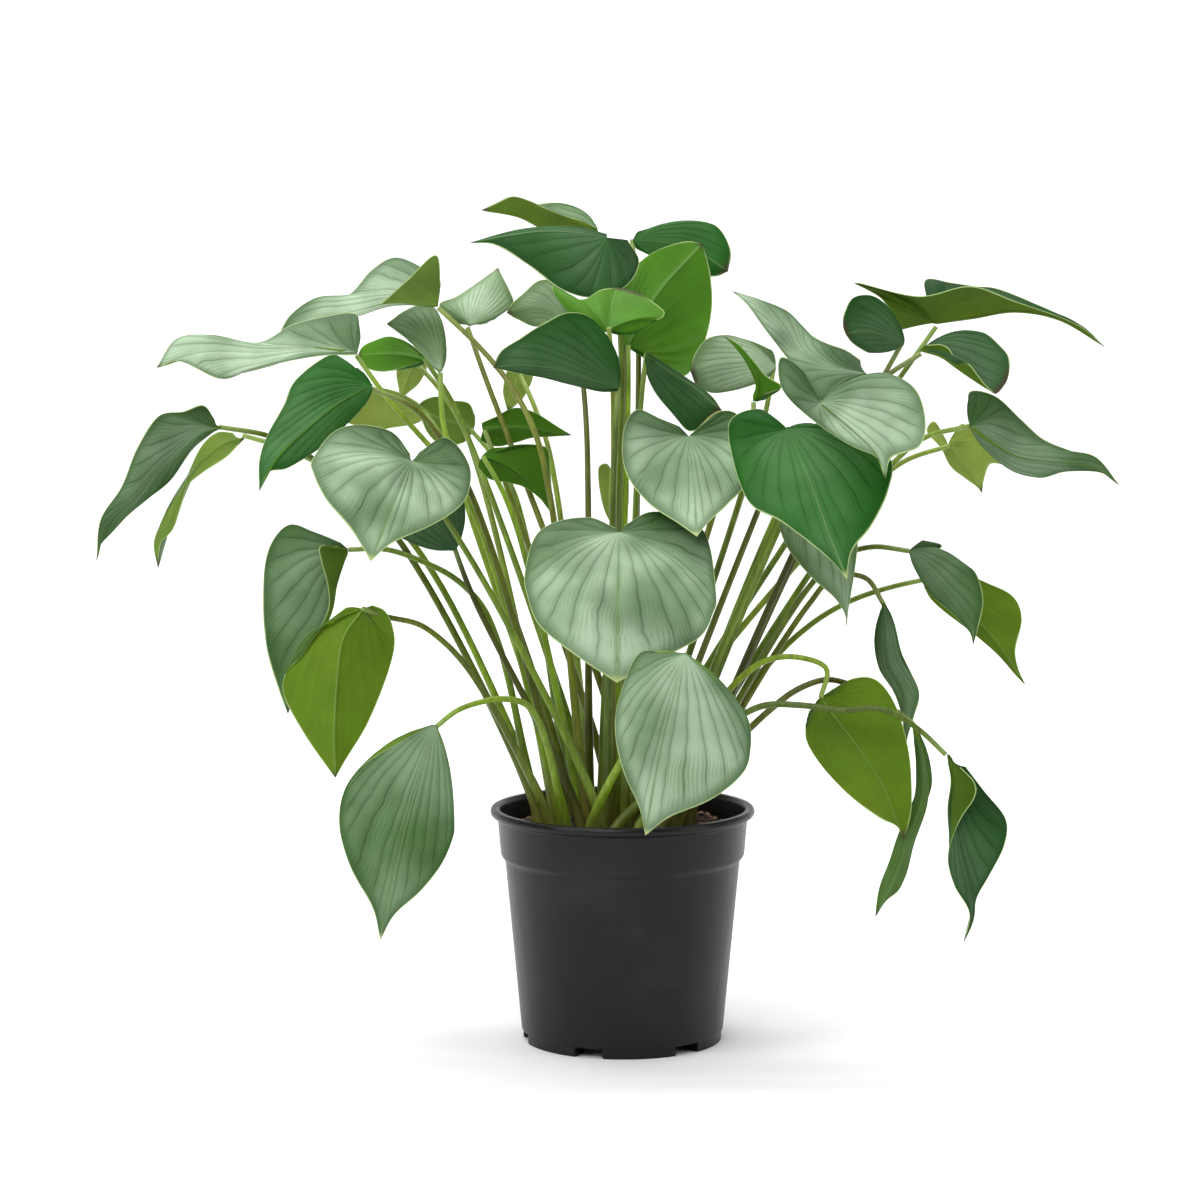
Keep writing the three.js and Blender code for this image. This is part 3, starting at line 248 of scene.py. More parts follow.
# Leaf blade: emerald above, yellow-green beneath, with sunken veins and a thin pale margin; painted sheen and
# painted shade lie on the upper side

bladeLook = dict(
    veins=11, veinPower=40, shadePower=2.5, streaksPerVein=5, seatFade=(0.02, 0.22), edgeFade=14 * mm,
    wander=dict(scale=45, detail=1, spread=0.5, low=-0.25),
    unevenVein=dict(scale=30, detail=2, spread=1.1, low=0.45),
    brightness=1.06, veinDepth=0.36, underVein=-1.45, veinShade=0.07, streakShade=0.1,
    mottle=dict(scale=26, detail=3, spread=0.8, low=0.6),
    lobeFade=(0.5, 0.9), lobeShade=0.3, bandFade=(9 * mm, 1 * mm), bandShade=0.25,
    upperRoughness=0.4, underRoughness=0.52, roughScale=90, roughSpread=0.14, specular=0.14,
    streakRelief=0.1, veinRelief=0.7, grain=dict(scale=700, detail=2), grainRelief=0.05,
    bump=(0.35 * mm, 0.6),
    throughColour=(0.16, 0.36, 0.02), throughShare=0.3, glow=0.1,
)

# Painted sheen: a pale highlight mixed into the upper side's colour in place of the soft lights' reflection
paintedSheenLook = dict(
    colour=(0.43, 0.56, 0.39), offShade=0.25, offVein=0.34, lobeFade=(0.8, 0.35), onLobes=0.18,
    patches=dict(scale=13, detail=2, low=0.3, high=0.66), betweenPatches=0.3, edgeFade=12 * mm, atEdge=0.4,
    clear=dict(scale=40, detail=2, low=0.4, high=0.65), offStreaks=0.3,
)

trimLook = dict(
    warm=dict(scale=18, detail=2, low=0.5, high=0.72), warmColour=(1.9, 1.4, 0.9), warmShare=0.22,
    ribFade=(0.016, 0.004), ribColour=(0.30, 0.44, 0.17), ribShare=0.5, ribStrength=0.5,
    margin=dict(scale=60, detail=1, spread=1.2 * mm, low=0.4 * mm), marginFade=(1, 0.4),
    marginColour=(0.42, 0.55, 0.22), marginStrength=0.85,
    tipColour=(0.05, 0.035, 0.02), paleTip=(0.46, 0.55, 0.22), tipLength=7 * mm,
)


def readBlade(tree):
    # turn is 0 on the midrib and 1 in the notch; reach is 0 at the seat and 1 on the margin
    bladeMap = addNode(tree, "ShaderNodeUVMap", uv_map="bladeMap").outputs[0]
    split = addNode(tree, "ShaderNodeSeparateXYZ", {0: bladeMap}).outputs
    under = readAttribute(tree, "under")
    return SimpleNamespace(
        # The tint's alpha is how much painted sheen the upper side takes
        tint=readAttribute(tree, "tint", "Color"), sheenAmount=readAttribute(tree, "tint", "Alpha"),
        fromEdge=readAttribute(tree, "fromEdge"), fromTip=readAttribute(tree, "fromTip"),
        paleTip=readAttribute(tree, "paleTip"), under=under, above=restOf(tree, under),
        turn=maths(tree, "ABSOLUTE", scaled(tree, split[0], 2, -1)), reach=split[1])


def markVeins(tree, blade):
    # Thin veins lie at whole numbers of turn, with a soft band beside them that is painted as shade and also
    # sunk in the bump, and fine streaks between
    look = bladeLook
    veinTurn = maths(tree, "MULTIPLY_ADD", blade.turn, look["veins"], noiseBand(tree, **look["wander"]))
    rise = cosineWave(tree, veinTurn, 1)
    blade.inner = times(tree, fade(tree, blade.reach, *look["seatFade"]),
                        fade(tree, blade.fromEdge, 0, look["edgeFade"]))
    blade.vein = times(tree, maths(tree, "POWER", rise, look["veinPower"]), blade.inner,
                       noiseBand(tree, **look["unevenVein"]))
    blade.beside = maths(tree, "POWER", rise, look["shadePower"])
    blade.streak = cosineWave(tree, veinTurn, look["streaksPerVein"])


def bladeShade(tree, blade):
    # Veins are dark above and pale beneath, with painted shade beside them above; painted shade darkens the
    # lobes above, and the band inside the margin is darker above
    look = bladeLook
    side = scaled(tree, blade.under, look["underVein"], 1)
    shade = look["brightness"]
    for dark in (times(tree, blade.vein, side, look["veinDepth"]),
                 times(tree, blade.beside, blade.inner, blade.above, look["veinShade"]),
                 times(tree, blade.streak, blade.inner, look["streakShade"])):
        shade = maths(tree, "SUBTRACT", shade, dark)
    shade = times(tree, shade, noiseBand(tree, **look["mottle"]))
    # Painted shade on the lobes; the band inside the margin is darker too
    lobes = times(tree, fade(tree, blade.turn, *look["lobeFade"]), look["lobeShade"])
    band = times(tree, fade(tree, blade.fromEdge, *look["bandFade"]), look["bandShade"])
    dim = times(tree, maths(tree, "ADD", lobes, band), blade.above)
    return times(tree, shade, restOf(tree, dim))


def paintedSheenShare(tree, blade):
    # Painted sheen, a pale highlight in place of the soft lights' reflection, lies in patches on the crests,
    # least in the veins, near the margin and on the lobes
    look = paintedSheenLook
    crest = restOf(tree, times(tree, blade.beside, blade.inner, look["offShade"]))
    crest = times(tree, crest, restOf(tree, times(tree, blade.vein, look["offVein"])),
                  liftTo(tree, fade(tree, blade.turn, *look["lobeFade"]), look["onLobes"]))
    patches = liftTo(tree, noiseFade(tree, **look["patches"]), look["betweenPatches"])
    edge = liftTo(tree, fade(tree, blade.fromEdge, 0, look["edgeFade"]), look["atEdge"])
    clear = times(tree, noiseFade(tree, **look["clear"]), look["offStreaks"])
    return times(tree, crest, times(tree, blade.sheenAmount, blade.above), patches, edge,
                 restOf(tree, times(tree, clear, blade.streak)))


def trimColour(tree, blade, colour):
    # Warm patches, then the midrib, the uneven pale rim and the dark or pale tip
    look = trimLook
    warm = times(tree, noiseFade(tree, **look["warm"]), look["warmShare"])
    colour = mixColour(tree, warm, colour, mixColour(tree, 1.0, blade.tint, look["warmColour"], "MULTIPLY"))
    rib = times(tree, fade(tree, blade.turn, *look["ribFade"]), look["ribStrength"])
    colour = mixColour(tree, rib, colour, mixColour(tree, look["ribShare"], blade.tint, look["ribColour"]))
    edge = maths(tree, "DIVIDE", blade.fromEdge, noiseBand(tree, **look["margin"]))
    rim = times(tree, fade(tree, edge, *look["marginFade"]), look["marginStrength"])
    colour = mixColour(tree, rim, colour, look["marginColour"])
    tipColour = mixColour(tree, blade.paleTip, look["tipColour"], look["paleTip"])
    return mixColour(tree, fade(tree, blade.fromTip, look["tipLength"], 0), colour, tipColour)


def bladeRelief(tree, blade):
    look = bladeLook
    relief = maths(tree, "SUBTRACT", times(tree, blade.streak, look["streakRelief"]),
                   times(tree, blade.beside, look["veinRelief"]))
    grain = times(tree, objectNoise(tree, **look["grain"]), look["grainRelief"])
    return maths(tree, "MULTIPLY_ADD", times(tree, relief, blade.inner), blade.above, grain)


def makeBladeMaterial():
    look = bladeLook
    material, tree, shader = startMaterial("emeraldBlade")
    blade = readBlade(tree)
    markVeins(tree, blade)
    # Veins, mottling and painted shade darken the tint
    colour = shaded(tree, blade.tint, bladeShade(tree, blade))
    # Painted sheen is mixed over the colour on the upper side
    colour = mixColour(tree, paintedSheenShare(tree, blade), colour, paintedSheenLook["colour"])
    colour = trimColour(tree, blade, colour)
    upper = look["upperRoughness"]
    roughness = scaled(tree, blade.under, look["underRoughness"] - upper, upper)
    roughness = maths(tree, "SUBTRACT", roughness, look["roughSpread"] / 2)
    roughness = scaled(tree, objectNoise(tree, look["roughScale"]), look["roughSpread"], roughness)
    coat(tree, shader, colour, roughness, look["specular"])
    addBump(tree, shader, bladeRelief(tree, blade), *look["bump"])

    # Light comes through the thin blade
    through = addNode(tree, "ShaderNodeBsdfTranslucent",
                      {"Color": mixColour(tree, look["throughShare"], colour, look["throughColour"])})
    both = addNode(tree, "ShaderNodeMixShader",
                   {0: look["glow"], 1: shader.outputs[0], 2: through.outputs[0]})
    feed(tree, tree.nodes["Material Output"], {"Surface": both.outputs[0]})
    return material


# Leaf stalk: olive green with darker streaks, warmer where it leaves the soil, paler at the blade

stalkLook = dict(
    streaks=dict(scale=260, detail=2, stretch=(1, 1, 0.12)), streakSpread=1.3, streakLow=0.35,
    blotch=dict(scale=25, detail=2, spread=1.0, low=0.5),
    baseColour=(0.24, 0.20, 0.06), baseReach=0.2, baseStrength=0.45,
    topColour=(0.30, 0.42, 0.12), topFrom=0.9, topStrength=0.5,
    roughness=0.34, specular=0.35, bump=(0.3 * mm, 0.5),
)


def makeStalkMaterial():
    look = stalkLook
    material, tree, shader = startMaterial("oliveStalk")
    along = readAttribute(tree, "stalkAlong")
    streaks = objectNoise(tree, **look["streaks"])
    shade = times(tree, scaled(tree, streaks, look["streakSpread"], look["streakLow"]),
                  noiseBand(tree, **look["blotch"]))
    colour = shaded(tree, readAttribute(tree, "tint", "Color"), shade)
    base = times(tree, fade(tree, along, look["baseReach"], 0), look["baseStrength"])
    colour = mixColour(tree, base, colour, look["baseColour"])
    top = times(tree, fade(tree, along, look["topFrom"], 1), look["topStrength"])
    colour = mixColour(tree, top, colour, look["topColour"])
    coat(tree, shader, colour, look["roughness"], look["specular"])
    addBump(tree, shader, streaks, *look["bump"])
    return material


# Pot plastic: black, satin, with the faint orange peel and scuffs of a moulded nursery pot

potLook = dict(
    colour=(0.0035, 0.0035, 0.0035), specular=0.28,
    dust=dict(scale=14, detail=5, low=0.5, high=0.75), dustShare=0.3, dustColour=(0.030, 0.027, 0.022),
    scuffs=dict(scale=70, detail=4, spread=0.2, low=0.28, stretch=(1, 1, 0.2)),
    peel=dict(scale=900, detail=2), bump=(0.12 * mm, 0.35),
)


def makePotMaterial():
    look = potLook
    material, tree, shader = startMaterial("blackPotPlastic")
    dust = times(tree, noiseFade(tree, **look["dust"]), look["dustShare"])
    colour = mixColour(tree, dust, look["colour"], look["dustColour"])
    coat(tree, shader, colour, noiseBand(tree, **look["scuffs"]), look["specular"])
    addBump(tree, shader, objectNoise(tree, **look["peel"]), *look["bump"])
    return material


# Soil: dark potting mix, with bark chips in tan and brown

soilLook = dict(
    dark=(0.012, 0.008, 0.006), light=(0.07, 0.045, 0.03), grain=dict(scale=420, detail=6),
    lightFade=(0.4, 0.7), roughness=0.95, bump=(2 * mm, 0.9),
)

chipLook = dict(
    dark=(0.035, 0.018, 0.01), light=(0.34, 0.2, 0.12), bark=dict(scale=240, detail=4, stretch=(1, 1, 3)),
    barkSpread=1.1, barkLow=0.2, roughness=0.9, bump=(1 * mm, 0.8),
)


def makeSoilMaterial():
    look = soilLook
    material, tree, shader = startMaterial("pottingMix")
    grain = objectNoise(tree, **look["grain"])
    colour = mixColour(tree, fade(tree, grain, *look["lightFade"]), look["dark"], look["light"])
    coat(tree, shader, colour, look["roughness"])
    addBump(tree, shader, grain, *look["bump"])
    return material


def makeChipMaterial():
    look = chipLook
    material, tree, shader = startMaterial("barkChip")
    bark = objectNoise(tree, **look["bark"])
    share = maths(tree, "MULTIPLY", readAttribute(tree, "chipTone"),
                  scaled(tree, bark, look["barkSpread"], look["barkLow"]), clamp=True)
    coat(tree, shader, mixColour(tree, share, look["dark"], look["light"]), look["roughness"])
    addBump(tree, shader, bark, *look["bump"])
    return material


# Pieces: every object sits at the origin with its place in its mesh

def newPiece(name, mesh, *nodes, slotName):
    piece = addObject(name, mesh)
    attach(piece, "root")
    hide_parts(*nodes)


def bakeModifier(piece):
    # The evaluated result becomes a plain mesh and the object with the live modifier goes
    depsgraph = bpy.context.evaluated_depsgraph_get()
    mesh = bpy.data.meshes.new_from_object(piece.evaluated_get(depsgraph))
    bpy.data.objects.remove(piece)
    return mesh


def startTree(name, **inputs):
    tree = bpy.data.node_groups.new(name, "GeometryNodeTree")
    tree.interface.new_socket("Geometry", in_out="INPUT", socket_type="NodeSocketGeometry")
    for label, kind in inputs.items():
        tree.interface.new_socket(label, in_out="INPUT", socket_type=kind)
    tree.interface.new_socket("Geometry", in_out="OUTPUT", socket_type="NodeSocketGeometry")
    return tree, tree.nodes.new("NodeGroupInput").outputs, tree.nodes.new("NodeGroupOutput").inputs


def runTree(piece, tree, **values):
    # Gives the piece the tree with these inputs and bakes what it makes
    modifier = piece.modifiers.new(tree.name, "NODES")
    modifier.node_group = tree
    for item in tree.interface.items_tree:
        if item.in_out == "INPUT" and item.name in values:
            modifier[item.identifier] = values[item.name]
    return bakeModifier(piece)


# Pot: turned wall with a rolled lip and a collar, six feet and six drain holes

pot = dict(
    rimRadius=106, height=188, lipHeight=6, lipTuck=2, lipUnder=1.2, lipOver=1.4, lipLedge=1,
    collarTop=100, collarBottom=97.5, collarDrop=38, collarStep=4,
    bodyTop=94, bodyBottom=81, baseIn=0.5, baseRise=1.5, wall=2.2, floorThickness=3,
    footHeight=8, footCount=6, footSweep=44, firstFootTurn=10, footInset=1.5, footWidth=14, footSteps=14,
    footInFloor=1, footBevel=0.8, bevelFrom=40,
    drainCount=6, drainRadius=6, drainRing=52, drainDepth=12, drainSides=24,
    segments=144, rounding=1.92, roundingMost=0.4, roundingSteps=4, sharpFrom=38,
)


def roundedLine(corners):
    # Each inner corner of a (radius, height) line is cut back and rounded
    most, steps = pot["roundingMost"], pot["roundingSteps"]
    line = [corners[0]]
    for before, corner, after in zip(corners, corners[1:], corners[2:]):
        corner, before, after = Vector(corner), Vector(before), Vector(after)
        cut = min(pot["rounding"], most * (before - corner).length, most * (after - corner).length)
        start = corner + cut * (before - corner).normalized()
        end = corner + cut * (after - corner).normalized()
        for step in range(steps + 1):
            f = step / steps
            line.append(tuple((1 - f) ** 2 * start + 2 * f * (1 - f) * corner + f * f * end))
    line.append(corners[-1])
    return line


def turnedMesh(line, segments):
    # Closed solid of revolution; the line starts and ends on the axis
    points = [(0, 0, line[0][1])]
    for radius, height in line[1:-1]:
        points += circle(radius, height, segments)
    last = len(points)
    points.append((0, 0, line[-1][1]))
    top = last - segments
    faces = []
    for n in range(segments):
        m = (n + 1) % segments
        faces.append((0, 1 + m, 1 + n))
        for low in range(1, top, segments):
            high = low + segments
            faces.append((low + n, low + m, high + m, high + n))
        faces.append((top + n, top + m, last))
    return points, faces


def bmeshFrom(points, faces, outward=True):
    made = bmesh.new()
    verts = [made.verts.new(Vector(point) * mm) for point in points]
    for face in faces:
        made.faces.new([verts[k] for k in face])
    if outward:
        bmesh.ops.recalc_face_normals(made, faces=made.faces)
    return made


def joinMeshes(parts, name):
    whole = bmesh.new()
    for part in parts:
        scrap = bpy.data.meshes.new("scrap")
        part.to_mesh(scrap)
        whole.from_mesh(scrap)
        part.free()
        bpy.data.meshes.remove(scrap)
    mesh = bpy.data.meshes.new(name)
    whole.to_mesh(mesh)
    whole.free()
    return mesh


def cutWith(mesh, cutter):
    # Exact boolean difference through two passing objects
    base, tool = addObject("cutBase", mesh), addObject("cutTool", cutter)
    modifier = base.modifiers.new("cut", "BOOLEAN")
    modifier.object = tool
    modifier.operation = "DIFFERENCE"
    modifier.solver = "EXACT"
    bpy.context.view_layer.update()
    result = bakeModifier(base)
    bpy.data.objects.remove(tool)
    return result


def potOutline(floor):
    # From the axis out beneath, up the outside, over the lip and down the inside
    foot, wall, top = pot["footHeight"], pot["wall"], pot["height"]
    collar, underLip, lipMiddle = top - pot["collarDrop"], top - pot["lipHeight"], top - pot["lipHeight"] / 2
    return [
        (0, foot),
        (pot["bodyBottom"] - pot["baseIn"], foot),
        (pot["bodyBottom"], foot + pot["baseRise"]),
        (pot["bodyTop"], collar - pot["collarStep"]),
        (pot["collarBottom"], collar),
        (pot["collarTop"], underLip - pot["lipTuck"]),
        (pot["rimRadius"] - pot["lipUnder"], underLip),
        (pot["rimRadius"], lipMiddle),
        (pot["rimRadius"] - pot["lipOver"], top),
        (pot["collarTop"] - pot["lipLedge"], top),
        (pot["collarTop"] - wall, lipMiddle),
        (pot["collarBottom"] - wall, collar),
        (pot["bodyTop"] - wall, collar - pot["collarStep"]),
        (pot["bodyBottom"] - wall, floor),
        (0, floor),
    ]


def makeDrain(n):
    turn = 2 * math.pi * (n + 0.5) / pot["drainCount"]
    place = Vector(onCircle(pot["drainRing"], turn, pot["footHeight"])) * mm
    drain = bmesh.new()
    bmesh.ops.create_cone(
        drain, cap_ends=True, segments=pot["drainSides"], radius1=pot["drainRadius"] * mm,
        radius2=pot["drainRadius"] * mm, depth=pot["drainDepth"] * mm, matrix=Matrix.Translation(place))
    return drain


def makeFoot(n):
    # A block bent along the edge of the base, its sharp edges bevelled
    middle = math.radians(pot["firstFootTurn"] - 90 + n * 360 / pot["footCount"])
    outer = pot["bodyBottom"] - pot["footInset"]
    inner = outer - pot["footWidth"]
    steps, half = pot["footSteps"], math.radians(pot["footSweep"] / 2)
    loop = [(outer, middle - half + 2 * half * k / steps) for k in range(steps + 1)]
    loop += [(inner, middle + half - 2 * half * k / steps) for k in range(steps + 1)]
    count = len(loop)
    points = []
    for height in (0, pot["footHeight"] + pot["footInFloor"]):
        points += [onCircle(radius, turn, height) for radius, turn in loop]
    faces = [tuple(reversed(range(count))), tuple(range(count, 2 * count))]
    faces += [(k, (k + 1) % count, count + (k + 1) % count, count + k) for k in range(count)]
    foot = bmeshFrom(points, faces)
    sharp = math.radians(pot["bevelFrom"])
    edges = [edge for edge in foot.edges if len(edge.link_faces) == 2 and edge.calc_face_angle() > sharp]
    bmesh.ops.bevel(foot, geom=edges, offset=pot["footBevel"] * mm, segments=2, affect="EDGES",
                    clamp_overlap=True)
    return foot


def makePot(material):
    outline = roundedLine(potOutline(pot["footHeight"] + pot["floorThickness"]))
    wall = bmeshFrom(*turnedMesh(outline, pot["segments"]))
    drains = [makeDrain(n) for n in range(pot["drainCount"])]
    turned = cutWith(joinMeshes([wall], "potWall"), joinMeshes(drains, "drains"))
    wall = bmesh.new()
    wall.from_mesh(turned)
    feet = [makeFoot(n) for n in range(pot["footCount"])]
    mesh = joinMeshes([wall, *feet], "pottedRim")
    mesh.shade_smooth()
    mesh.set_sharp_from_angle(angle=math.radians(pot["sharpFrom"]))
    mesh.materials.clear()
    mesh.materials.append(material)
    newPiece("nursery_pot", mesh, "pot", slotName="pot")


# Soil: a crumbly top that sinks a little towards the wall, scattered with bark chips

soil = dict(
    drop=13, sag=5, gap=0.3, flatRadius=66, brimRadius=84, brimDrop=2, rings=54, segments=150,
    crumb=2.4, crumbScale=140, crumbSlice=3, crumbRoughness=0.8, crumbLacunarity=2, crumbOctaves=4,
    crumbMiddle=0.4,
    chipCount=520, chipShapes=6, chipLong=(3.5, 9.5), chipFlat=(0.3, 0.55), chipWide=(0.45, 0.8),
    chipRough=(0.78, 1.15), chipTilt=0.6, chipSpin=6.3, chipUpward=0.3, chipDarkness=2.2, seed=7,
)
soilTop = pot["height"] - soil["drop"]
soilReach = pot["bodyTop"] - pot["wall"] - soil["gap"]


def soilHeight(x, y, radius):
    edge = pot["bodyTop"] - pot["wall"]
    profile = [(0, 0), (soil["flatRadius"], 0), (soil["brimRadius"], -soil["brimDrop"]), (edge, -soil["sag"])]
    lump = noise.fractal(Vector((x, y, soil["crumbSlice"])) * soil["crumbScale"] * mm,
                         soil["crumbRoughness"], soil["crumbLacunarity"], soil["crumbOctaves"])
    level = soilTop + float(np.interp(radius, *zip(*profile)))
    return level + soil["crumb"] * (lump - soil["crumbMiddle"])


def makeSoilMesh():
    # A centre point, the rings of the top, one ring at the floor and the floor's centre
    floor = pot["footHeight"] + pot["floorThickness"] + soil["gap"]
    rings, count = soil["rings"], soil["segments"]
    points = [(0, 0, soilTop)]
    for ring in range(1, rings + 1):
        radius = soilReach * ring / rings
        points += [(x, y, soilHeight(x, y, radius)) for x, y, height in circle(radius, 0, count)]
    bottom = len(points)
    points += circle(pot["bodyBottom"] - pot["wall"] - soil["gap"], floor, count)
    points.append((0, 0, floor))
    rim = bottom - count
    faces = []
    for n in range(count):
        m = (n + 1) % count
        faces.append((0, 1 + n, 1 + m))
        for a in range(1, rim, count):
            b = a + count
            faces.append((a + n, b + n, b + m, a + m))
        faces.append((rim + n, bottom + n, bottom + m, rim + m))
        faces.append((bottom + n, len(points) - 1, bottom + m))
    mesh = joinMeshes([bmeshFrom(points, faces, outward=False)], "soilHeap")
    mesh.shade_smooth()
    return mesh


def makeChipShapes(material):
    # A few angular chips for the scatter to pick from
    shapes = bpy.data.collections.new("chipShapes")
    source = random.Random(soil["seed"])
    for n in range(soil["chipShapes"]):
        chip = bmesh.new()
        bmesh.ops.create_icosphere(chip, subdivisions=1, radius=1)
        flat = source.uniform(*soil["chipFlat"])
        wide = source.uniform(*soil["chipWide"])
        for vert in chip.verts:
            vert.co *= source.uniform(*soil["chipRough"])
            vert.co.y *= wide
            vert.co.z *= flat
        mesh = bpy.data.meshes.new("chip")
        chip.to_mesh(mesh)
        chip.free()
        mesh.materials.append(material)
        shapes.objects.link(bpy.data.objects.new(f"chip{n}", mesh))
    return shapes


def makeChipTree(shapes, material):
    # Chips of all sizes and turns on the upward faces, each with a tone of its own
    tree, given, result = startTree(
        "barkScatter", Count="NodeSocketFloat", Seed="NodeSocketInt", Smallest="NodeSocketFloat",
        Largest="NodeSocketFloat")
    scatter = addNode(tree, "GeometryNodeDistributePointsOnFaces",
                      {"Mesh": given["Geometry"], "Density": given["Count"], "Seed": given["Seed"]})
    upward = addNode(tree, "ShaderNodeSeparateXYZ", {0: scatter.outputs["Normal"]}).outputs[2]
    keep = maths(tree, "GREATER_THAN", upward, soil["chipUpward"])
    tilt = soil["chipTilt"]
    spin = addNode(tree, "FunctionNodeRandomValue",
                   {"Min": (-tilt, -tilt, 0), "Max": (tilt, tilt, soil["chipSpin"])},
                   data_type="FLOAT_VECTOR")
    size = addNode(tree, "FunctionNodeRandomValue", {2: given["Smallest"], 3: given["Largest"]},
                   data_type="FLOAT")
    picked = addNode(tree, "GeometryNodeCollectionInfo",
                     {"Collection": shapes, "Separate Children": True, "Reset Children": True})
    chips = addNode(tree, "GeometryNodeInstanceOnPoints", {
        "Points": scatter.outputs["Points"], "Selection": keep, "Instance": picked.outputs[0],
        "Pick Instance": True, "Rotation": spin.outputs[0], "Scale": size.outputs[1]})
    tone = addNode(tree, "FunctionNodeRandomValue", {2: 0.0, 3: 1.0}, data_type="FLOAT")
    darkened = maths(tree, "POWER", tone.outputs[1], soil["chipDarkness"])
    toned = addNode(tree, "GeometryNodeStoreNamedAttribute",
                    {"Geometry": chips.outputs[0], "Name": "chipTone", "Value": darkened},
                    data_type="FLOAT", domain="INSTANCE")
    real = addNode(tree, "GeometryNodeRealizeInstances", {0: toned.outputs[0]})
    finish = addNode(tree, "GeometryNodeSetMaterial", {"Geometry": real.outputs[0], "Material": material})
    tree.links.new(finish.outputs[0], result[0])
    return tree


def scatterChips(mesh, material):
    ground = addObject("chipGround", mesh.copy())
    tree = makeChipTree(makeChipShapes(material), material)
    smallest, largest = (long / 2 * mm for long in soil["chipLong"])
    perArea = soil["chipCount"] / (math.pi * (soilReach * mm) ** 2)
    chips = runTree(ground, tree, Count=perArea, Seed=soil["seed"], Smallest=smallest, Largest=largest)
    chips.name = "barkChips"
    return chips


def makeSoil(soilMaterial, chipMaterial):
    mesh = makeSoilMesh()
    mesh.materials.append(soilMaterial)
    chips = scatterChips(mesh, chipMaterial)
    newPiece("potting_soil", mesh, "soil", slotName="soil")
    chipPiece = addObject("bark_chips", chips)
    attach(chipPiece, "root")


# Leaves. A place (across, up, back) is read on the photo's sheet in mm, and back sets its depth.

sheet = dict(distance=3038, across=18.4, up=-347.2)

bladeForm = dict(
    thickness=0.9, edgeThickness=0.6, edgeReach=4, ribHeight=1.2, ribWidth=1.6, ribTaper=0.7,
    pleatDepth=0.6, pleatShare=0.01, wideLeaf=100, bulge=0.07, veinBend=(0.3, 0.62),
    veinWander=0.011, wanderWaves=(3, 5, 8),
    edgeOnBend=(0.8, 0.25), edgeOnWidth=6, footLooks=40, seatLook=0.1, reachEase=0.85,
    reachSteps=24, turnSteps=72, smallReachSteps=16, smallTurnSteps=52, largeFrom=95, sharpFrom=55,
)

# A blade that is seen square on is formed from its width, and has these unless its row says otherwise
formedBlade = dict(
    lobe=0.55, belly=0.14, full=0, fold=(16, 16), foldAtTip=0.6, curl=-26, bow=0.1, wave=1.5, waves=2,
    waveShift=0.3, tail=0.08, tailThins=0.2, lobeKeys=(0.3, 0.97, 0.62), openLobeKeys=(0, 0.35, 0.9),
    bodyKeys=(0.3, 0.62, 0.9), lobeWidths=(0.05, 0.36, 0.86, 1), bodyWidths=(0.91, 0.6, 0.2),
    fullWidths=(0.06, 0.24, 0.26),
)

stalkForm = dict(
    baseRadius=4.4, middleRadius=2.9, topRadius=2.0, middleAt=0.3, gap=0.8, beneath=3.4, steps=10, sides=14,
    samples=72, curveSteps=24, rootDepth=14, clearOfSoil=2, riseShare=0.16, riseLift=0.06,
    bendRounds=60, bendReach=150, pushShare=0.3, evenShare=0.1,
)

crown = dict(across=-7, rings=[(10, 4), (27, 9), (44, 15), (61, 21)])

# Tints above, beneath and of the stalk, and how much painted sheen, a pale highlight in place of the soft
# lights' reflection, lies on the upper side
leafTints = dict(
    deep=((0.026, 0.096, 0.008), (0.10, 0.18, 0.015), (0.13, 0.21, 0.012), 0.42),
    # Painted shade: a darker tint for leaves that lie in shade
    dark=((0.005, 0.062, 0.002), (0.06, 0.12, 0.006), (0.08, 0.13, 0.008), 0.12),
    vivid=((0.009, 0.110, 0.003), (0.05, 0.15, 0.006), (0.13, 0.22, 0.010), 0.13),
    # Painted sheen: a paler tint and the most sheen, in place of the soft lights' reflection
    pale=((0.080, 0.175, 0.035), (0.14, 0.24, 0.04), (0.14, 0.22, 0.015), 0.98),
    bright=((0.022, 0.125, 0.004), (0.055, 0.175, 0.006), (0.16, 0.26, 0.013), 0.08),
    # Painted sheen: much sheen above, in place of the soft lights' reflection
    sheenPainted=((0.026, 0.095, 0.010), (0.12, 0.20, 0.03), (0.14, 0.22, 0.015), 0.88),
    olive=((0.055, 0.14, 0.010), (0.100, 0.185, 0.008), (0.14, 0.21, 0.010), 0.2),
    lime=((0.13, 0.24, 0.03), (0.24, 0.34, 0.06), (0.18, 0.26, 0.018), 0.2),
)

# By leaf number; the leaves that are not named here are deep. The dark look is painted shade, and the two
# looks with the most sheen above carry painted sheen in their tints
leafLooks = dict(
    dark=(19, 25, 30, 34, 38, 39, 40, 48), vivid=(5, 17, 18, 26, 33), bright=(13, 31, 32, 36),
    sheenPainted=(2, 3, 4, 6, 22, 23, 24, 27, 37), pale=(10, 11, 12, 28, 35), olive=(8, 44, 46, 47),
    lime=(14, 15, 20, 21, 42),
)
paleTips = (6, 9, 20, 22, 23, 24, 26)

# The stalk's tint is multiplied by one of these, in turn
stalkShades = (
    (1, 1, 1), (0.66, 0.6, 0.6), (1.15, 1.15, 1), (0.95, 0.7, 0.8), (1.3, 1.3, 1), (0.62, 0.45, 0.6),
    (0.95, 0.95, 1),
)

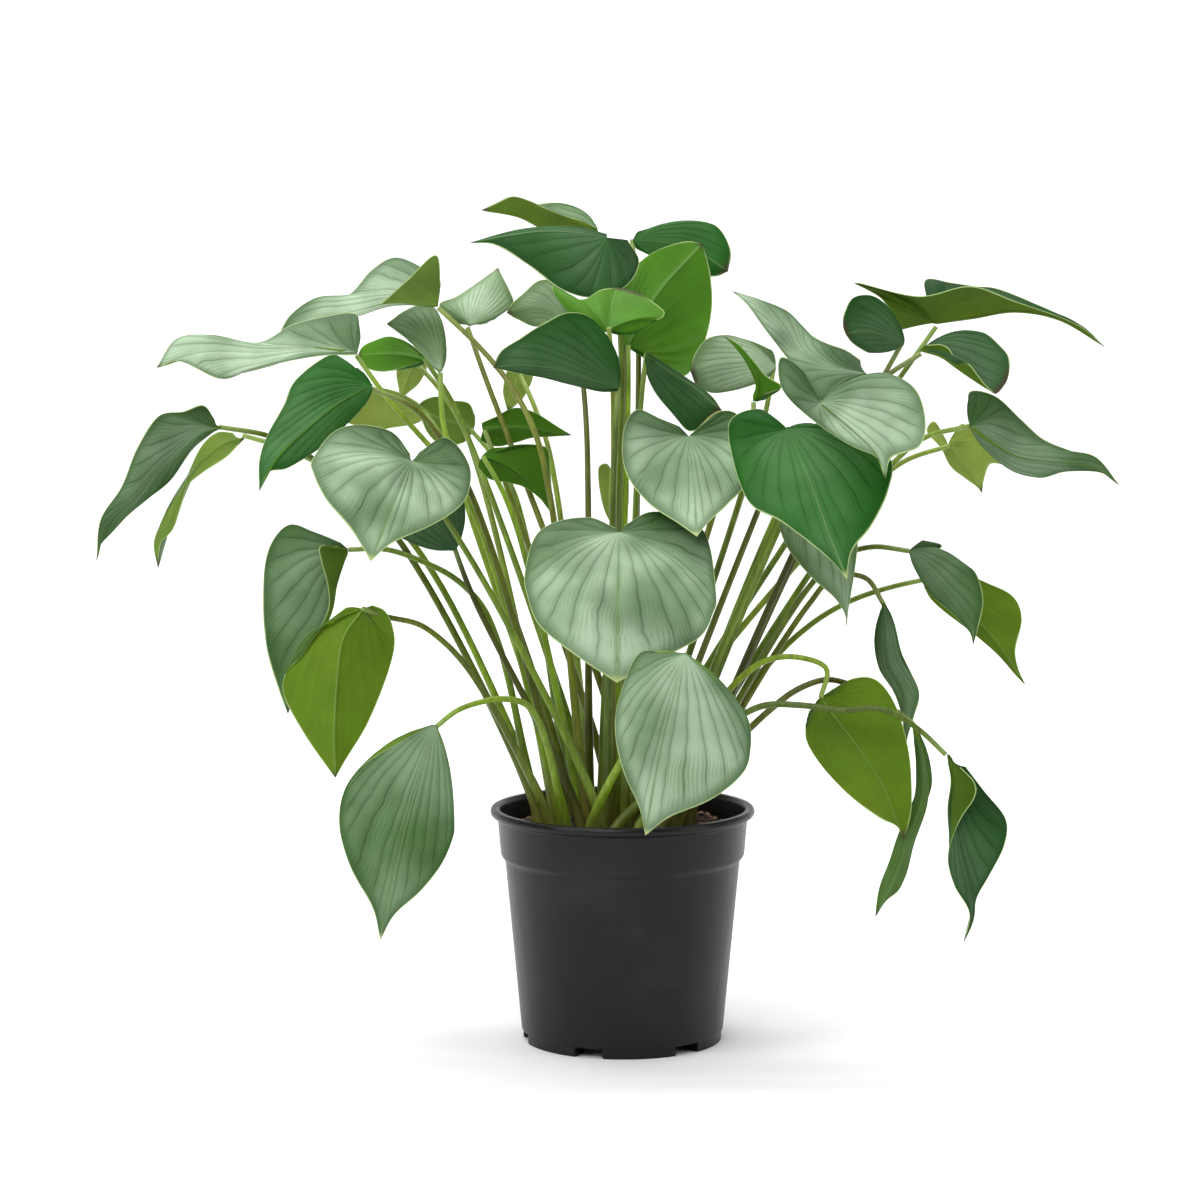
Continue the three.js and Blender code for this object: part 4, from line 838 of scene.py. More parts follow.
# By leaf number. left and right are the margins, each read from the notch to the tip, and lean sets
# how far back each of them stands. A leaf without them is seen square on and formed from its width.
leafRows = {
    # Left side, outermost first
    1: dict(seat=[-321, 485, -50], tip=[-421, 379, -110], lean=[-0.5, 0.7], edgeOn=True,
        midrib=[[-341, 480, -62], [-368, 456, -78], [-389, 430, -90], [-402, 419, -96], [-414, 404, -102]],
        stalk=[[-294, 481, -34], [-262, 469, -8], [-190, 408, 0]],
        left=[[-327, 492], [-336, 503], [-352, 498], [-372, 494], [-389, 468], [-401, 438], [-418, 411]],
        right=[[-330, 480], [-345, 467], [-362, 443], [-379, 429], [-396, 415], [-409, 401], [-418, 391]]),
    2: dict(seat=[-303, 476, 70], tip=[-372, 373, 80], lean=[-0.8, 0.8], edgeOn=True,
        midrib=[[-322, 470, 72], [-341, 452, 76], [-350, 438, 78], [-359, 417, 78]],
        stalk=[[-250, 460, 60], [-170, 395, 50]],
        left=[[-308, 471], [-318, 461], [-335, 450], [-348, 439], [-353, 425], [-360, 404], [-370, 392]],
        right=[[-312, 481], [-325, 481], [-338, 469], [-351, 441], [-356, 433], [-365, 418], [-375, 394]]),
    3: dict(seat=[-148, 583, 60], tip=[-276, 558, 84], lean=[1, -0.7],
        midrib=[[-185, 585, 66], [-215, 578, 72], [-245, 573, 78]], stalk=[[-103, 536, 50], [-70, 480, 30]],
        left=[[-151, 600], [-160, 612], [-182, 621], [-201, 611], [-220, 591], [-245, 589], [-266, 575]],
        right=[[-146, 600], [-150, 623], [-173, 603], [-196, 583], [-222, 573], [-247, 568], [-268, 563]]),
    4: dict(seat=[-213, 545, 40], tip=[-373, 533, 20], lean=[0.9, -0.9], edgeOn=True,
        midrib=[[-252, 547, 36], [-290, 544, 32], [-335, 544, 26]],
        stalk=[[-178, 495, 40], [-130, 440, 30]],
        left=[[-212, 560], [-214, 576], [-238, 574], [-265, 567], [-292, 553], [-328, 559], [-357, 556]],
        right=[[-212, 543], [-222, 543], [-238, 543], [-264, 539], [-298, 531], [-322, 524], [-354, 538]]),
    5: dict(seat=[-201, 518, 0], tip=[-291, 434, -60], lean=[0.3, 0.4],
        midrib=[[-228, 503, -18], [-254, 482, -36], [-276, 460, -50]],
        stalk=[[-176, 508, 5], [-130, 450, 10]],
        left=[[-206, 525], [-219, 536], [-235, 543], [-262, 523], [-272, 502], [-285, 478], [-291, 458]],
        right=[[-205, 512], [-213, 500], [-222, 487], [-238, 472], [-254, 461], [-270, 452], [-284, 449]]),
    6: dict(seat=[-169, 458, -80], tip=[-202, 378, -165], face=[0.28, -0.71, 0.64], wide=[72, 50],
        lobe=[36, 62], belly=[0.27, 0.06], full=[0.4, 0], fold=[4, 8],
        stalk=[[-160, 440, -60], [-110, 360, -40]]),
    7: dict(seat=[-220, 388, 0], tip=[-268, 256, -20], lean=[0.1, -1.2],
        midrib=[[-229, 360, -6], [-234, 335, -12], [-252, 300, -16]],
        stalk=[[-190, 388, 0], [-118, 350, -10]],
        left=[[-226, 393], [-246, 401], [-268, 407], [-284, 386], [-288, 348], [-285, 308], [-275, 274]],
        right=[[-228, 390], [-242, 390], [-241, 377], [-236, 358], [-236, 338], [-250, 310], [-262, 280]]),
    8: dict(seat=[-208, 340, -80], tip=[-230, 205, -90], lean=[0.25, 0.25],
        midrib=[[-224, 316, -84], [-229, 280, -87], [-231, 240, -89]],
        stalk=[[-190, 334, -70], [-168, 330, -68], [-130, 300, -55]],
        left=[[-200, 343], [-190, 338], [-184, 325], [-183, 308], [-191, 280], [-205, 247], [-222, 219]],
        right=[[-222, 341], [-240, 326], [-258, 302], [-270, 288], [-271, 270], [-255, 240], [-237, 214]]),
    9: dict(seat=[-150, 247, -120], tip=[-194, 75, -150], face=[-0.1, -0.9, 0.3], wide=[58, 38],
        lobe=[-50, -72], belly=[0.4, 0.46], fold=[0, -6], stalk=[[-126, 262, -112], [-78, 264, -90]]),

    # Left of the middle, mostly behind
    10: dict(seat=[-123, 567, 140], tip=[-100, 613, 205], lean=[0.3, 0.3],
        midrib=[[-114, 583, 162], [-106, 598, 184]], stalk=[[-113, 533, 128]],
        left=[[-112, 569], [-100, 576], [-88, 584], [-91, 595], [-96, 605]],
        right=[[-134, 568], [-147, 583], [-133, 590], [-118, 600], [-107, 608]]),
    11: dict(seat=[-146, 530, 90], tip=[-189, 568, 120], lean=[0.4, 0.4],
        midrib=[[-158, 552, 98], [-172, 565, 110]], stalk=[[-144, 490, 85]],
        left=[[-144, 541], [-143, 560], [-150, 580], [-163, 583], [-177, 577]],
        right=[[-148, 532], [-155, 538], [-163, 546], [-172, 555], [-181, 562]]),
    12: dict(seat=[-38, 559, 104], tip=[-93, 577, 128], lean=[0.5, 0.3],
        midrib=[[-56, 577, 112], [-74, 582, 120]], stalk=[[-30, 500, 86]],
        left=[[-40, 572], [-50, 598], [-66, 603], [-80, 592], [-89, 584]],
        right=[[-42, 562], [-52, 568], [-62, 570], [-71, 566], [-85, 572]]),
    13: dict(seat=[-157, 539, 150], tip=[-212, 543, 190], lean=[-0.6, 0.6],
        midrib=[[-175, 543, 165], [-194, 544, 178]], stalk=[[-134, 500, 138]],
        left=[[-163, 537], [-173, 534], [-184, 531], [-195, 530], [-205, 533]],
        right=[[-163, 543], [-173, 553], [-186, 558], [-198, 555], [-208, 550]]),
    14: dict(seat=[-167, 542, 200], tip=[-178, 508, 220], face=[0.2, 0.8, 0.3], wide=[13, 13], full=0.6,
        stalk=[[-130, 490, 160]]),
    15: dict(seat=[-156, 497, 110], tip=[-224, 490, 130], lean=[0.3, -0.3],
        midrib=[[-178, 499, 117], [-202, 497, 124]], stalk=[[-140, 470, 95]],
        left=[[-162, 491], [-172, 487], [-185, 485], [-198, 483], [-211, 486]],
        right=[[-163, 501], [-175, 509], [-190, 516], [-203, 516], [-214, 505]]),
    16: dict(seat=[-120, 483, 170], tip=[-165, 501, 200], lean=[0.3, 0.3],
        midrib=[[-135, 489, 180], [-150, 494, 190]], stalk=[[-90, 440, 140]],
        left=[[-128, 473], [-140, 470], [-150, 474], [-157, 482], [-161, 491]],
        right=[[-119, 496], [-124, 505], [-138, 507], [-149, 510], [-159, 507]]),
    17: dict(seat=[-112, 483, 120], tip=[-41, 479, 150], lean=[0.3, 0.3],
        midrib=[[-90, 485, 130], [-66, 483, 140]], stalk=[[-90, 430, 100]],
        left=[[-113, 489], [-99, 495], [-86, 501], [-70, 497], [-54, 487]],
        right=[[-114, 474], [-101, 470], [-86, 473], [-72, 477], [-56, 478]]),
    18: dict(seat=[-113, 462, 60], tip=[-56, 415, 80], lean=[0.4, 0.3],
        midrib=[[-94, 454, 66], [-75, 440, 74]], stalk=[[-90, 420, 55]],
        left=[[-103, 469], [-82, 470], [-61, 469], [-58, 450], [-57, 431]],
        right=[[-116, 453], [-107, 444], [-92, 441], [-78, 437], [-65, 427]]),
    19: dict(seat=[-134, 388, -20], tip=[-176, 438, -50], lean=[0.3, 0.3],
        midrib=[[-146, 404, -30], [-160, 420, -40]], stalk=[[-120, 350, -15]],
        left=[[-131, 395], [-129, 411], [-128, 429], [-137, 442], [-156, 446]],
        right=[[-144, 389], [-156, 393], [-170, 397], [-183, 401], [-187, 422]]),
    20: dict(seat=[-9, 451, 130], tip=[-4, 399, 140], face=[0, 0.9, 0.2], wide=[13, 12], full=0.8,
        stalk=[[-8, 400, 100]]),
    21: dict(seat=[-82, 530, 230], tip=[-92, 498, 240], face=[0, 0.9, 0.3], wide=[12, 11], full=0.8,
        stalk=[[-60, 470, 180]]),

    # Middle, facing the front
    22: dict(seat=[-3, 401, -120], tip=[-5, 281, -190], face=[0, -0.75, 0.65], wide=[73, 76], lobe=[18, 26],
        belly=[0.22, 0.38], full=0.9, fold=[2, 2], stalk=[[-2, 395, -90]]),
    23: dict(seat=[50, 304, -215], tip=[18, 159, -225], face=[-0.15, -0.9, 0.3], wide=[44, 66],
        lobe=[-6, -36], belly=[0.3, 0.46], full=[0, 0.2], fold=[-4, -4], stalk=[[44, 294, -150]]),
    24: dict(seat=[53, 478, -60], tip=[59, 398, -132], lean=[0.15, 0.15],
        midrib=[[55, 458, -80], [57, 438, -99], [58, 418, -116]], stalk=[[90, 500, -20]],
        left=[[45, 486], [30, 492], [10, 499], [0, 480], [2, 450], [20, 425], [45, 408]],
        right=[[61, 484], [78, 498], [93, 494], [101, 470], [98, 441], [84, 424], [69, 410]]),
    25: dict(seat=[18, 544, 45], tip=[79, 499, 28], lean=[0.2, 0.6], midrib=[[37, 530, 40], [58, 517, 34]],
        stalk=[[14, 500, 36]],
        left=[[25, 531], [33, 516], [43, 494], [54, 482], [70, 490]],
        right=[[23, 543], [37, 534], [51, 525], [62, 517], [72, 509]]),
    26: dict(seat=[131, 484, -110], tip=[179, 364, -172], lean=[0.2, 0.2],
        midrib=[[141, 462, -124], [151, 438, -140], [164, 402, -158]], stalk=[[128, 470, -80]],
        left=[[126, 489], [108, 500], [86, 491], [87, 464], [101, 425], [128, 409], [164, 381]],
        right=[[137, 486], [153, 488], [187, 474], [214, 460], [212, 434], [199, 407], [183, 386]]),
    27: dict(seat=[158, 505, -130], tip=[210, 444, -200], lean=[0.3, 0.3],
        midrib=[[172, 493, -146], [188, 479, -164], [202, 464, -184]], stalk=[[154, 482, -84]],
        left=[[152, 513], [143, 531], [126, 541], [127, 517], [148, 494], [180, 472], [203, 461]],
        right=[[166, 507], [181, 518], [206, 529], [233, 517], [242, 491], [237, 470], [215, 461]]),
    28: dict(seat=[151, 451, -30], tip=[179, 325, -70], lean=[0.3, 0.2],
        midrib=[[161, 425, -42], [171, 394, -54], [178, 360, -63]], stalk=[[135, 425, -20]],
        left=[[139, 457], [124, 446], [122, 424], [130, 392], [150, 366], [168, 350], [177, 337]],
        right=[[163, 458], [178, 441], [188, 417], [188, 394], [185, 368], [182, 350], [180, 337]]),

    # Top
    29: dict(seat=[-20, 640, 130], tip=[-113, 659, 110], lean=[1.4, -0.9],
        midrib=[[-38, 641, 127], [-62, 644, 122], [-84, 654, 116]], stalk=[[0, 560, 100]],
        left=[[-23, 648], [-32, 656], [-43, 663], [-56, 665], [-69, 664], [-82, 664], [-98, 664]],
        right=[[-22, 645], [-35, 651], [-50, 655], [-63, 661], [-76, 667], [-89, 670], [-101, 665]]),
    30: dict(seat=[-13, 637, 62], tip=[-122, 633, 36], lean=[3, -0.5],
        midrib=[[-38, 641, 58], [-64, 642, 52], [-90, 639, 46]], stalk=[[-2, 560, 56]],
        left=[[-14, 640], [-26, 643], [-40, 646], [-56, 646], [-72, 645], [-86, 643], [-102, 639]],
        right=[[4, 635], [13, 617], [2, 598], [-24, 589], [-50, 596], [-77, 616], [-102, 631]]),
    31: dict(seat=[-12, 562, -40], tip=[-5, 597, 16], lean=[-0.3, -0.3], bulge=-0.15,
        midrib=[[-10, 575, -20], [-8, 586, 0]], stalk=[[-8, 520, -30]],
        left=[[-19, 570], [-30, 577], [-44, 578], [-57, 598], [-42, 589], [-30, 588], [-18, 595]],
        right=[[2, 567], [15, 572], [29, 572], [33, 577], [27, 583], [15, 591], [4, 595]]),
    32: dict(seat=[3, 550, 60], tip=[63, 632, 130], lean=[0.2, 0.2],
        midrib=[[15, 573, 74], [31, 597, 94], [47, 615, 112]], stalk=[[4, 500, 50]],
        left=[[-3, 557], [-7, 576], [-4, 595], [8, 612], [22, 624], [38, 631], [53, 634]],
        right=[[18, 540], [40, 530], [52, 528], [65, 552], [71, 580], [70, 606], [66, 623]]),
    33: dict(seat=[8, 635, 160], tip=[84, 610, 170], lean=[0.3, 0.4],
        midrib=[[30, 634, 164], [56, 628, 167]], stalk=[[12, 570, 130]],
        left=[[11, 628], [26, 621], [43, 613], [60, 607], [74, 606]],
        right=[[12, 642], [32, 647], [54, 649], [75, 646], [86, 627]]),
    34: dict(seat=[-3, 517, -80], tip=[-104, 533, -110], lean=[0.3, 0.3],
        midrib=[[-28, 524, -88], [-54, 532, -96], [-80, 535, -104]], stalk=[[-7, 460, -66]],
        left=[[-8, 534], [-13, 554], [-26, 573], [-45, 577], [-66, 567], [-83, 556], [-98, 546]],
        right=[[-6, 514], [-18, 514], [-32, 517], [-48, 521], [-64, 525], [-80, 528], [-95, 531]]),

    # Right side
    35: dict(seat=[122, 534, 100], tip=[54, 530, 72], lean=[0.4, 0.1],
        midrib=[[100, 537, 92], [76, 535, 82]], stalk=[[110, 480, 80]],
        left=[[119, 547], [103, 554], [84, 559], [67, 556], [57, 543]],
        right=[[113, 525], [99, 518], [84, 514], [70, 513], [59, 519]]),
    36: dict(seat=[105, 506, 20], tip=[81, 558, 10], lean=[0.4, -0.4],
        midrib=[[109, 519, 17], [103, 534, 14], [94, 546, 12]], stalk=[[104, 470, 10]],
        left=[[104, 511], [106, 519], [102, 530], [96, 541], [88, 551]],
        right=[[113, 512], [127, 518], [114, 527], [103, 540], [92, 552]]),
    37: dict(seat=[195, 528, 30], tip=[88, 594, 60], lean=[0.8, -0.8], edgeOn=True,
        midrib=[[166, 533, 40], [141, 545, 48], [127, 564, 54], [106, 585, 58]], stalk=[[150, 470, 20]],
        left=[[190, 539], [178, 547], [164, 552], [152, 558], [142, 568], [130, 579], [108, 588]],
        right=[[190, 519], [175, 512], [158, 506], [141, 528], [128, 545], [112, 566], [99, 584]]),
    38: dict(seat=[225, 553, 10], tip=[178, 560, -10], lean=[0.2, 0.2],
        midrib=[[212, 558, 4], [198, 562, -2], [187, 562, -7]], stalk=[[205, 520, 20]],
        left=[[223, 562], [217, 574], [210, 584], [198, 591], [184, 589], [177, 577], [176, 567]],
        right=[[221, 552], [215, 550], [209, 549], [203, 547], [197, 545], [190, 548], [183, 553]]),
    39: dict(seat=[250, 569, 80], tip=[385, 550, 100], lean=[-0.6, 0.8],
        midrib=[[280, 573, 84], [314, 578, 89], [350, 571, 94]], stalk=[[243, 553, 80], [210, 510, 70]],
        left=[[222, 563], [207, 588], [186, 601], [236, 590], [278, 598], [314, 586], [362, 568]],
        right=[[245, 582], [242, 603], [262, 601], [282, 598], [300, 596], [330, 584], [366, 567]]),
    40: dict(seat=[238, 547, -20], tip=[298, 512, -50], lean=[-0.7, 0.4],
        midrib=[[254, 542, -28], [268, 532, -36], [284, 521, -44]],
        stalk=[[228, 545, -20], [205, 520, -15]],
        left=[[244, 551], [256, 551], [263, 545], [266, 535], [276, 536], [283, 528], [290, 519]],
        right=[[252, 553], [268, 560], [288, 561], [302, 550], [309, 540], [308, 525], [302, 515]]),
    41: dict(seat=[278, 486, 34], tip=[397, 439, 60], lean=[0.5, 0.4],
        midrib=[[292, 475, 38], [316, 461, 44], [346, 457, 51], [376, 453, 57]], stalk=[[230, 470, 22]],
        left=[[282, 480], [290, 471], [301, 461], [314, 451], [334, 445], [355, 450], [382, 449]],
        right=[[277, 499], [278, 514], [298, 510], [318, 492], [336, 476], [357, 467], [379, 461]]),
    42: dict(seat=[260, 471, 85], tip=[287, 433, 95], lean=[0.3, 0.3],
        midrib=[[269, 461, 88], [278, 450, 91]], stalk=[[215, 452, 66]],
        left=[[263, 478], [271, 488], [282, 482], [295, 467], [306, 456], [294, 456], [289, 445]],
        right=[[258, 476], [249, 490], [243, 482], [254, 469], [262, 454], [273, 445], [284, 437]]),
    43: dict(seat=[229, 387, -30], tip=[280, 311, -50], lean=[0.4, 0.3],
        midrib=[[241, 375, -34], [255, 358, -40], [269, 341, -46], [279, 324, -49]],
        stalk=[[210, 390, -20], [170, 380, -10]],
        left=[[233, 381], [239, 371], [241, 359], [250, 348], [261, 339], [270, 330], [278, 320]],
        right=[[240, 395], [255, 391], [251, 384], [268, 377], [282, 369], [288, 347], [284, 325]]),
    44: dict(seat=[242, 364, 40], tip=[322, 279, 50], lean=[0.3, 0.3],
        midrib=[[262, 348, 42], [283, 331, 45], [300, 312, 47]], stalk=[[190, 350, 30], [140, 320, 20]],
        left=[[251, 370], [269, 370], [291, 361], [312, 350], [319, 332], [314, 308], [316, 293]],
        right=[[241, 357], [247, 347], [258, 337], [270, 328], [283, 318], [300, 303], [314, 287]]),
    45: dict(seat=[209, 344, 20], tip=[226, 227, 10], lean=[0.5, 0.5],
        midrib=[[210, 322, 16], [213, 296, 14], [226, 270, 12]],
        stalk=[[202, 357, 18], [190, 367, 15], [172, 368, 12]],
        left=[[207, 337], [205, 328], [201, 314], [205, 292], [217, 273], [223, 254], [225, 239]],
        right=[[212, 338], [213, 329], [219, 311], [230, 290], [237, 272], [233, 255], [228, 239]]),
    46: dict(seat=[158, 269, -50], tip=[224, 156, -60], lean=[0.15, 0.15],
        midrib=[[172, 250, -52], [190, 226, -55], [208, 198, -58]],
        stalk=[[164, 288, -47], [158, 297, -45], [110, 297, -35]],
        left=[[169, 273], [183, 284], [203, 283], [219, 261], [229, 224], [231, 186], [228, 166]],
        right=[[156, 263], [148, 249], [147, 234], [160, 213], [182, 190], [205, 173], [219, 166]]),
    47: dict(seat=[233, 247, -40], tip=[202, 94, -50], lean=[0.8, 0.8],
        midrib=[[239, 218, -42], [239, 188, -44], [227, 155, -46], [219, 128, -48]],
        stalk=[[214, 262, -35], [157, 283, -35]],
        left=[[234, 234], [235, 211], [233, 188], [225, 157], [213, 136], [206, 120], [203, 106]],
        right=[[240, 233], [247, 206], [243, 186], [229, 156], [228, 135], [221, 116], [210, 106]]),
    48: dict(seat=[260, 224, -90], tip=[273, 74, -110], lean=[-0.9, 0.3], edgeOn=True,
        midrib=[[264, 202, -94], [264, 178, -98], [271, 142, -102], [279, 106, -106]],
        stalk=[[215, 258, -85], [170, 259, -75], [110, 262, -65]],
        left=[[270, 213], [281, 201], [281, 189], [269, 170], [260, 143], [265, 119], [277, 97]],
        right=[[274, 214], [289, 194], [306, 172], [305, 151], [293, 127], [283, 109], [280, 90]]),
}


def onSheet(reading):
    # The place in the world, in mm, behind this place on the photo's sheet
    across, up, back = reading
    tilt = math.radians(photoCamera["tiltDown"])
    eye = np.array([photoCamera["across"], -photoCamera["distance"], photoCamera["height"]]) / mm
    ahead = np.array([0, math.cos(tilt), -math.sin(tilt)])
    over = np.array([0, math.sin(tilt), math.cos(tilt)])
    sight = ahead * sheet["distance"] + over * (up + sheet["up"])
    sight[0] += across + sheet["across"]
    return eye + sight * (back + photoCamera["distance"] / mm) / sight[1]


def pair(value):
    return tuple(value) if isinstance(value, (tuple, list)) else (value, value)


def unit(vector):
    return vector / np.linalg.norm(vector)


def unitRows(rows):
    return rows / np.linalg.norm(rows, axis=1)[:, None]


def throughKeys(keys, share):
    # Smooth curve through evenly spaced keys
    last = len(keys) - 1
    at = np.clip(share, 0, 1) * last
    key = np.minimum(at.astype(int), last - 1)
    f = at - key
    padded = np.concatenate([[2 * keys[0] - keys[1]], keys, [2 * keys[-1] - keys[-2]]])
    before, a, b, after = (padded[key + n] for n in range(4))
    slopeA, slopeB = (b - before) / 2, (after - a) / 2
    f2, f3 = f * f, f * f * f
    return a * (2 * f3 - 3 * f2 + 1) + slopeA * (f3 - 2 * f2 + f) + b * (3 * f2 - 2 * f3) + slopeB * (f3 - f2)


def throughPoints(points, share):
    return np.column_stack([throughKeys(points[:, axis], share) for axis in range(3)])


def outlineKeys(leaf, side):
    # Half outline from the notch round the lobe to the tip: lengths along the midrib, half widths
    form, length, lobe = formedBlade, leaf["length"], leaf["lobe"][side]
    belly = leaf["belly"][side] * length
    body = (1 - form["tail"]) * length - belly
    start = [-share * lobe for share in form["openLobeKeys" if lobe < 0 else "lobeKeys"]]
    lengths = [*start, belly, *(belly + share * body for share in form["bodyKeys"]), length]
    widths = [wide + more * leaf["full"][side] for wide, more in zip(form["bodyWidths"], form["fullWidths"])]
    widths[-1] -= form["tailThins"] * form["tail"]
    return np.array(lengths, float), np.array([*form["lobeWidths"], *widths, 0], float)


def midribFrame(leaf, along):
    # Places on an arched midrib, with the directions up and right from there
    length, face, chord = leaf["length"], leaf["face"], leaf["chord"]
    share = along / length
    ahead01 = np.maximum(share, 0)
    bow = formedBlade["bow"] * length
    raised = bow * (4 * share * (1 - ahead01))
    slope = bow * (4 * (1 - 2 * ahead01) / length)
    place = leaf["seat"] + np.outer(along, chord) + np.outer(raised, face)
    ahead = unitRows(chord + np.outer(slope, face))
    up = unitRows(face - ahead * (ahead @ face)[:, None])
    return place, up, np.cross(up, ahead)


def formedPoints(leaf, side, reach, turn):
    # Each half leaves the midrib at its fold and bends on by its curl
    form = formedBlade
    lengths, widths = outlineKeys(leaf, side)
    wide, fold = leaf["wide"][side], leaf["fold"][side]
    edgeLength, edgeWidth = throughKeys(lengths, turn), throughKeys(widths, turn) * wide
    start, end = 2 * reach * (1 - reach), reach * reach
    bendLength, bendWidth = bladeForm["veinBend"]
    along = start * bendLength * edgeLength + end * edgeLength
    out = start * bendWidth * edgeWidth + end * edgeWidth
    place, up, right = midribFrame(leaf, along)
    share = np.clip(along / leaf["length"], 0, 1)
    fold = np.radians(fold + (form["foldAtTip"] * fold - fold) * share)
    bend = math.radians(form["curl"]) / wide
    flat = (np.sin(fold + bend * out) - np.sin(fold)) / bend
    raised = (np.cos(fold) - np.cos(fold + bend * out)) / bend
    waved = np.sin(2 * math.pi * (form["waves"] * turn + form["waveShift"] * side))
    raised = raised + form["wave"] * (out / wide) ** 2 * waved
    hand = -1 if side == 0 else 1
    points = place + right * (hand * flat)[:, None] + up * raised[:, None]
    pleat = bladeForm["pleatDepth"] * min(sum(leaf["wide"]) / bladeForm["wideLeaf"], 1)
    fromEdge = (1 - reach) * np.hypot(edgeLength, edgeWidth)
    return points, out, share, fromEdge, leaf["length"] - along, pleat + 0 * reach, 0 * reach


def outlinedPoints(leaf, side, reach, turn):
    # A half stretched between its read midrib and margin, bulging off the straight line by its bulge
    foot = throughKeys(leaf["feet"][side], turn)
    margin = throughPoints(leaf["margins"][side], turn)
    across = margin - throughPoints(leaf["midrib"], foot)
    halfWidth = np.linalg.norm(across, axis=1)
    start, end = 2 * reach * (1 - reach), reach * reach
    bendLength, bendWidth = bladeForm["edgeOnBend" if leaf.get("edgeOn") else "veinBend"]
    share = foot * (start * bendLength + end)
    outShare = start * bendWidth + end
    points = throughPoints(leaf["midrib"], share) + across * outShare[:, None]
    pleat = np.minimum(bladeForm["pleatDepth"], bladeForm["pleatShare"] * halfWidth)
    bulge = leaf["bulge"][side] * halfWidth * 4 * outShare * (1 - outShare)
    fromEdge = (1 - reach) * np.linalg.norm(margin - leaf["seat"], axis=1)
    return points, outShare * halfWidth, share, fromEdge, leaf["length"] * (1 - share), pleat, bulge


def readMargin(row, side):
    # A margin stands back from the midrib by its lean times their distance on the sheet; a leaf seen
    # edge on keeps some of that depth
    midrib = np.array([row["seat"], *row["midrib"], row["tip"]], float)
    lean = row["lean"][side]
    kept = lean * bladeForm["edgeOnWidth"] if row.get("edgeOn") else 0
    margin, feet, start = [], [], 0.0
    for across, up in row["left" if side == 0 else "right"]:
        shares = start + (1 - start) * np.arange(bladeForm["footLooks"] + 1) / bladeForm["footLooks"]
        places = throughPoints(midrib, shares)
        gaps = np.hypot(across - places[:, 0], up - places[:, 1])
        nearest = int(np.argmin(gaps))
        start = shares[nearest]
        depth = lean * math.hypot(gaps[nearest], kept)
        margin.append(onSheet((across, up, places[nearest, 2] + depth)))
        feet.append(start)
    return np.array([*margin, onSheet(row["tip"])]), np.array([*feet, 1.0])


def readOutlined(leaf, row):
    leaf["margins"], leaf["feet"] = zip(*[readMargin(row, side) for side in (0, 1)])
    leaf["midrib"] = np.array([onSheet(place) for place in (row["seat"], *row["midrib"], row["tip"])])
    leaf["bulge"] = pair(leaf.get("bulge", bladeForm["bulge"]))
    ahead = throughPoints(leaf["midrib"], np.array([bladeForm["seatLook"]]))[0] - leaf["seat"]
    left, right = (throughPoints(margin, np.array([0.5]))[0] for margin in leaf["margins"])
    leaf["seatUp"] = unit(np.cross(ahead, right - left))


def readFormed(leaf):
    wide, face = leaf["wide"], np.array(leaf["face"], float)
    leaf["face"] = unit(face - leaf["chord"] * (face @ leaf["chord"]))
    leaf["lobe"] = leaf.get("lobe", (formedBlade["lobe"] * wide[0], formedBlade["lobe"] * wide[1]))
    leaf["belly"] = pair(leaf.get("belly", formedBlade["belly"]))
    leaf["full"] = pair(leaf.get("full", formedBlade["full"]))
    leaf["fold"] = leaf.get("fold", formedBlade["fold"])
    leaf["seatUp"] = midribFrame(leaf, np.zeros(1))[1][0]


def readLeaf(number, row):
    seat, tip = onSheet(row["seat"]), onSheet(row["tip"])
    leaf = dict(row, number=number, name=f"leaf_{number:02d}", seat=seat, length=np.linalg.norm(tip - seat),
                chord=unit(tip - seat), stalk=[onSheet(reading) for reading in row["stalk"]])
    if "midrib" in row:
        readOutlined(leaf, row)
    else:
        readFormed(leaf)
    return leaf


def assignRoots(leaves):
    # The stalks that lean most stand in the outer ring, each ring in order round the crown
    middle = crown["across"]
    for leaf in leaves:
        across, back = leaf["seat"][0] - middle, leaf["seat"][1]
        leaf["seatTurn"] = math.atan2(back, across)
        leaf["slant"] = math.hypot(across, back) / (leaf["seat"][2] - soilTop)
    byLean = sorted(leaves, key=lambda leaf: leaf["slant"])
    for radius, places in crown["rings"]:
        members = sorted(byLean[:places], key=lambda leaf: leaf["seatTurn"])
        byLean = byLean[places:]
        step = 2 * math.pi / len(members)
        drift = sum(leaf["seatTurn"] + math.pi - n * step for n, leaf in enumerate(members)) / len(members)
        for n, leaf in enumerate(members):
            turn = n * step - math.pi + drift
            leaf["root"] = np.array([middle + radius * math.cos(turn), radius * math.sin(turn),
                                     soilTop - stalkForm["rootDepth"]])


def between(at, low, high, first, second):
    return (high - at) / (high - low) * first + (at - low) / (high - low) * second


def lengthsAlong(points):
    return np.concatenate([[0], np.cumsum(np.linalg.norm(np.diff(points, axis=0), axis=1))])


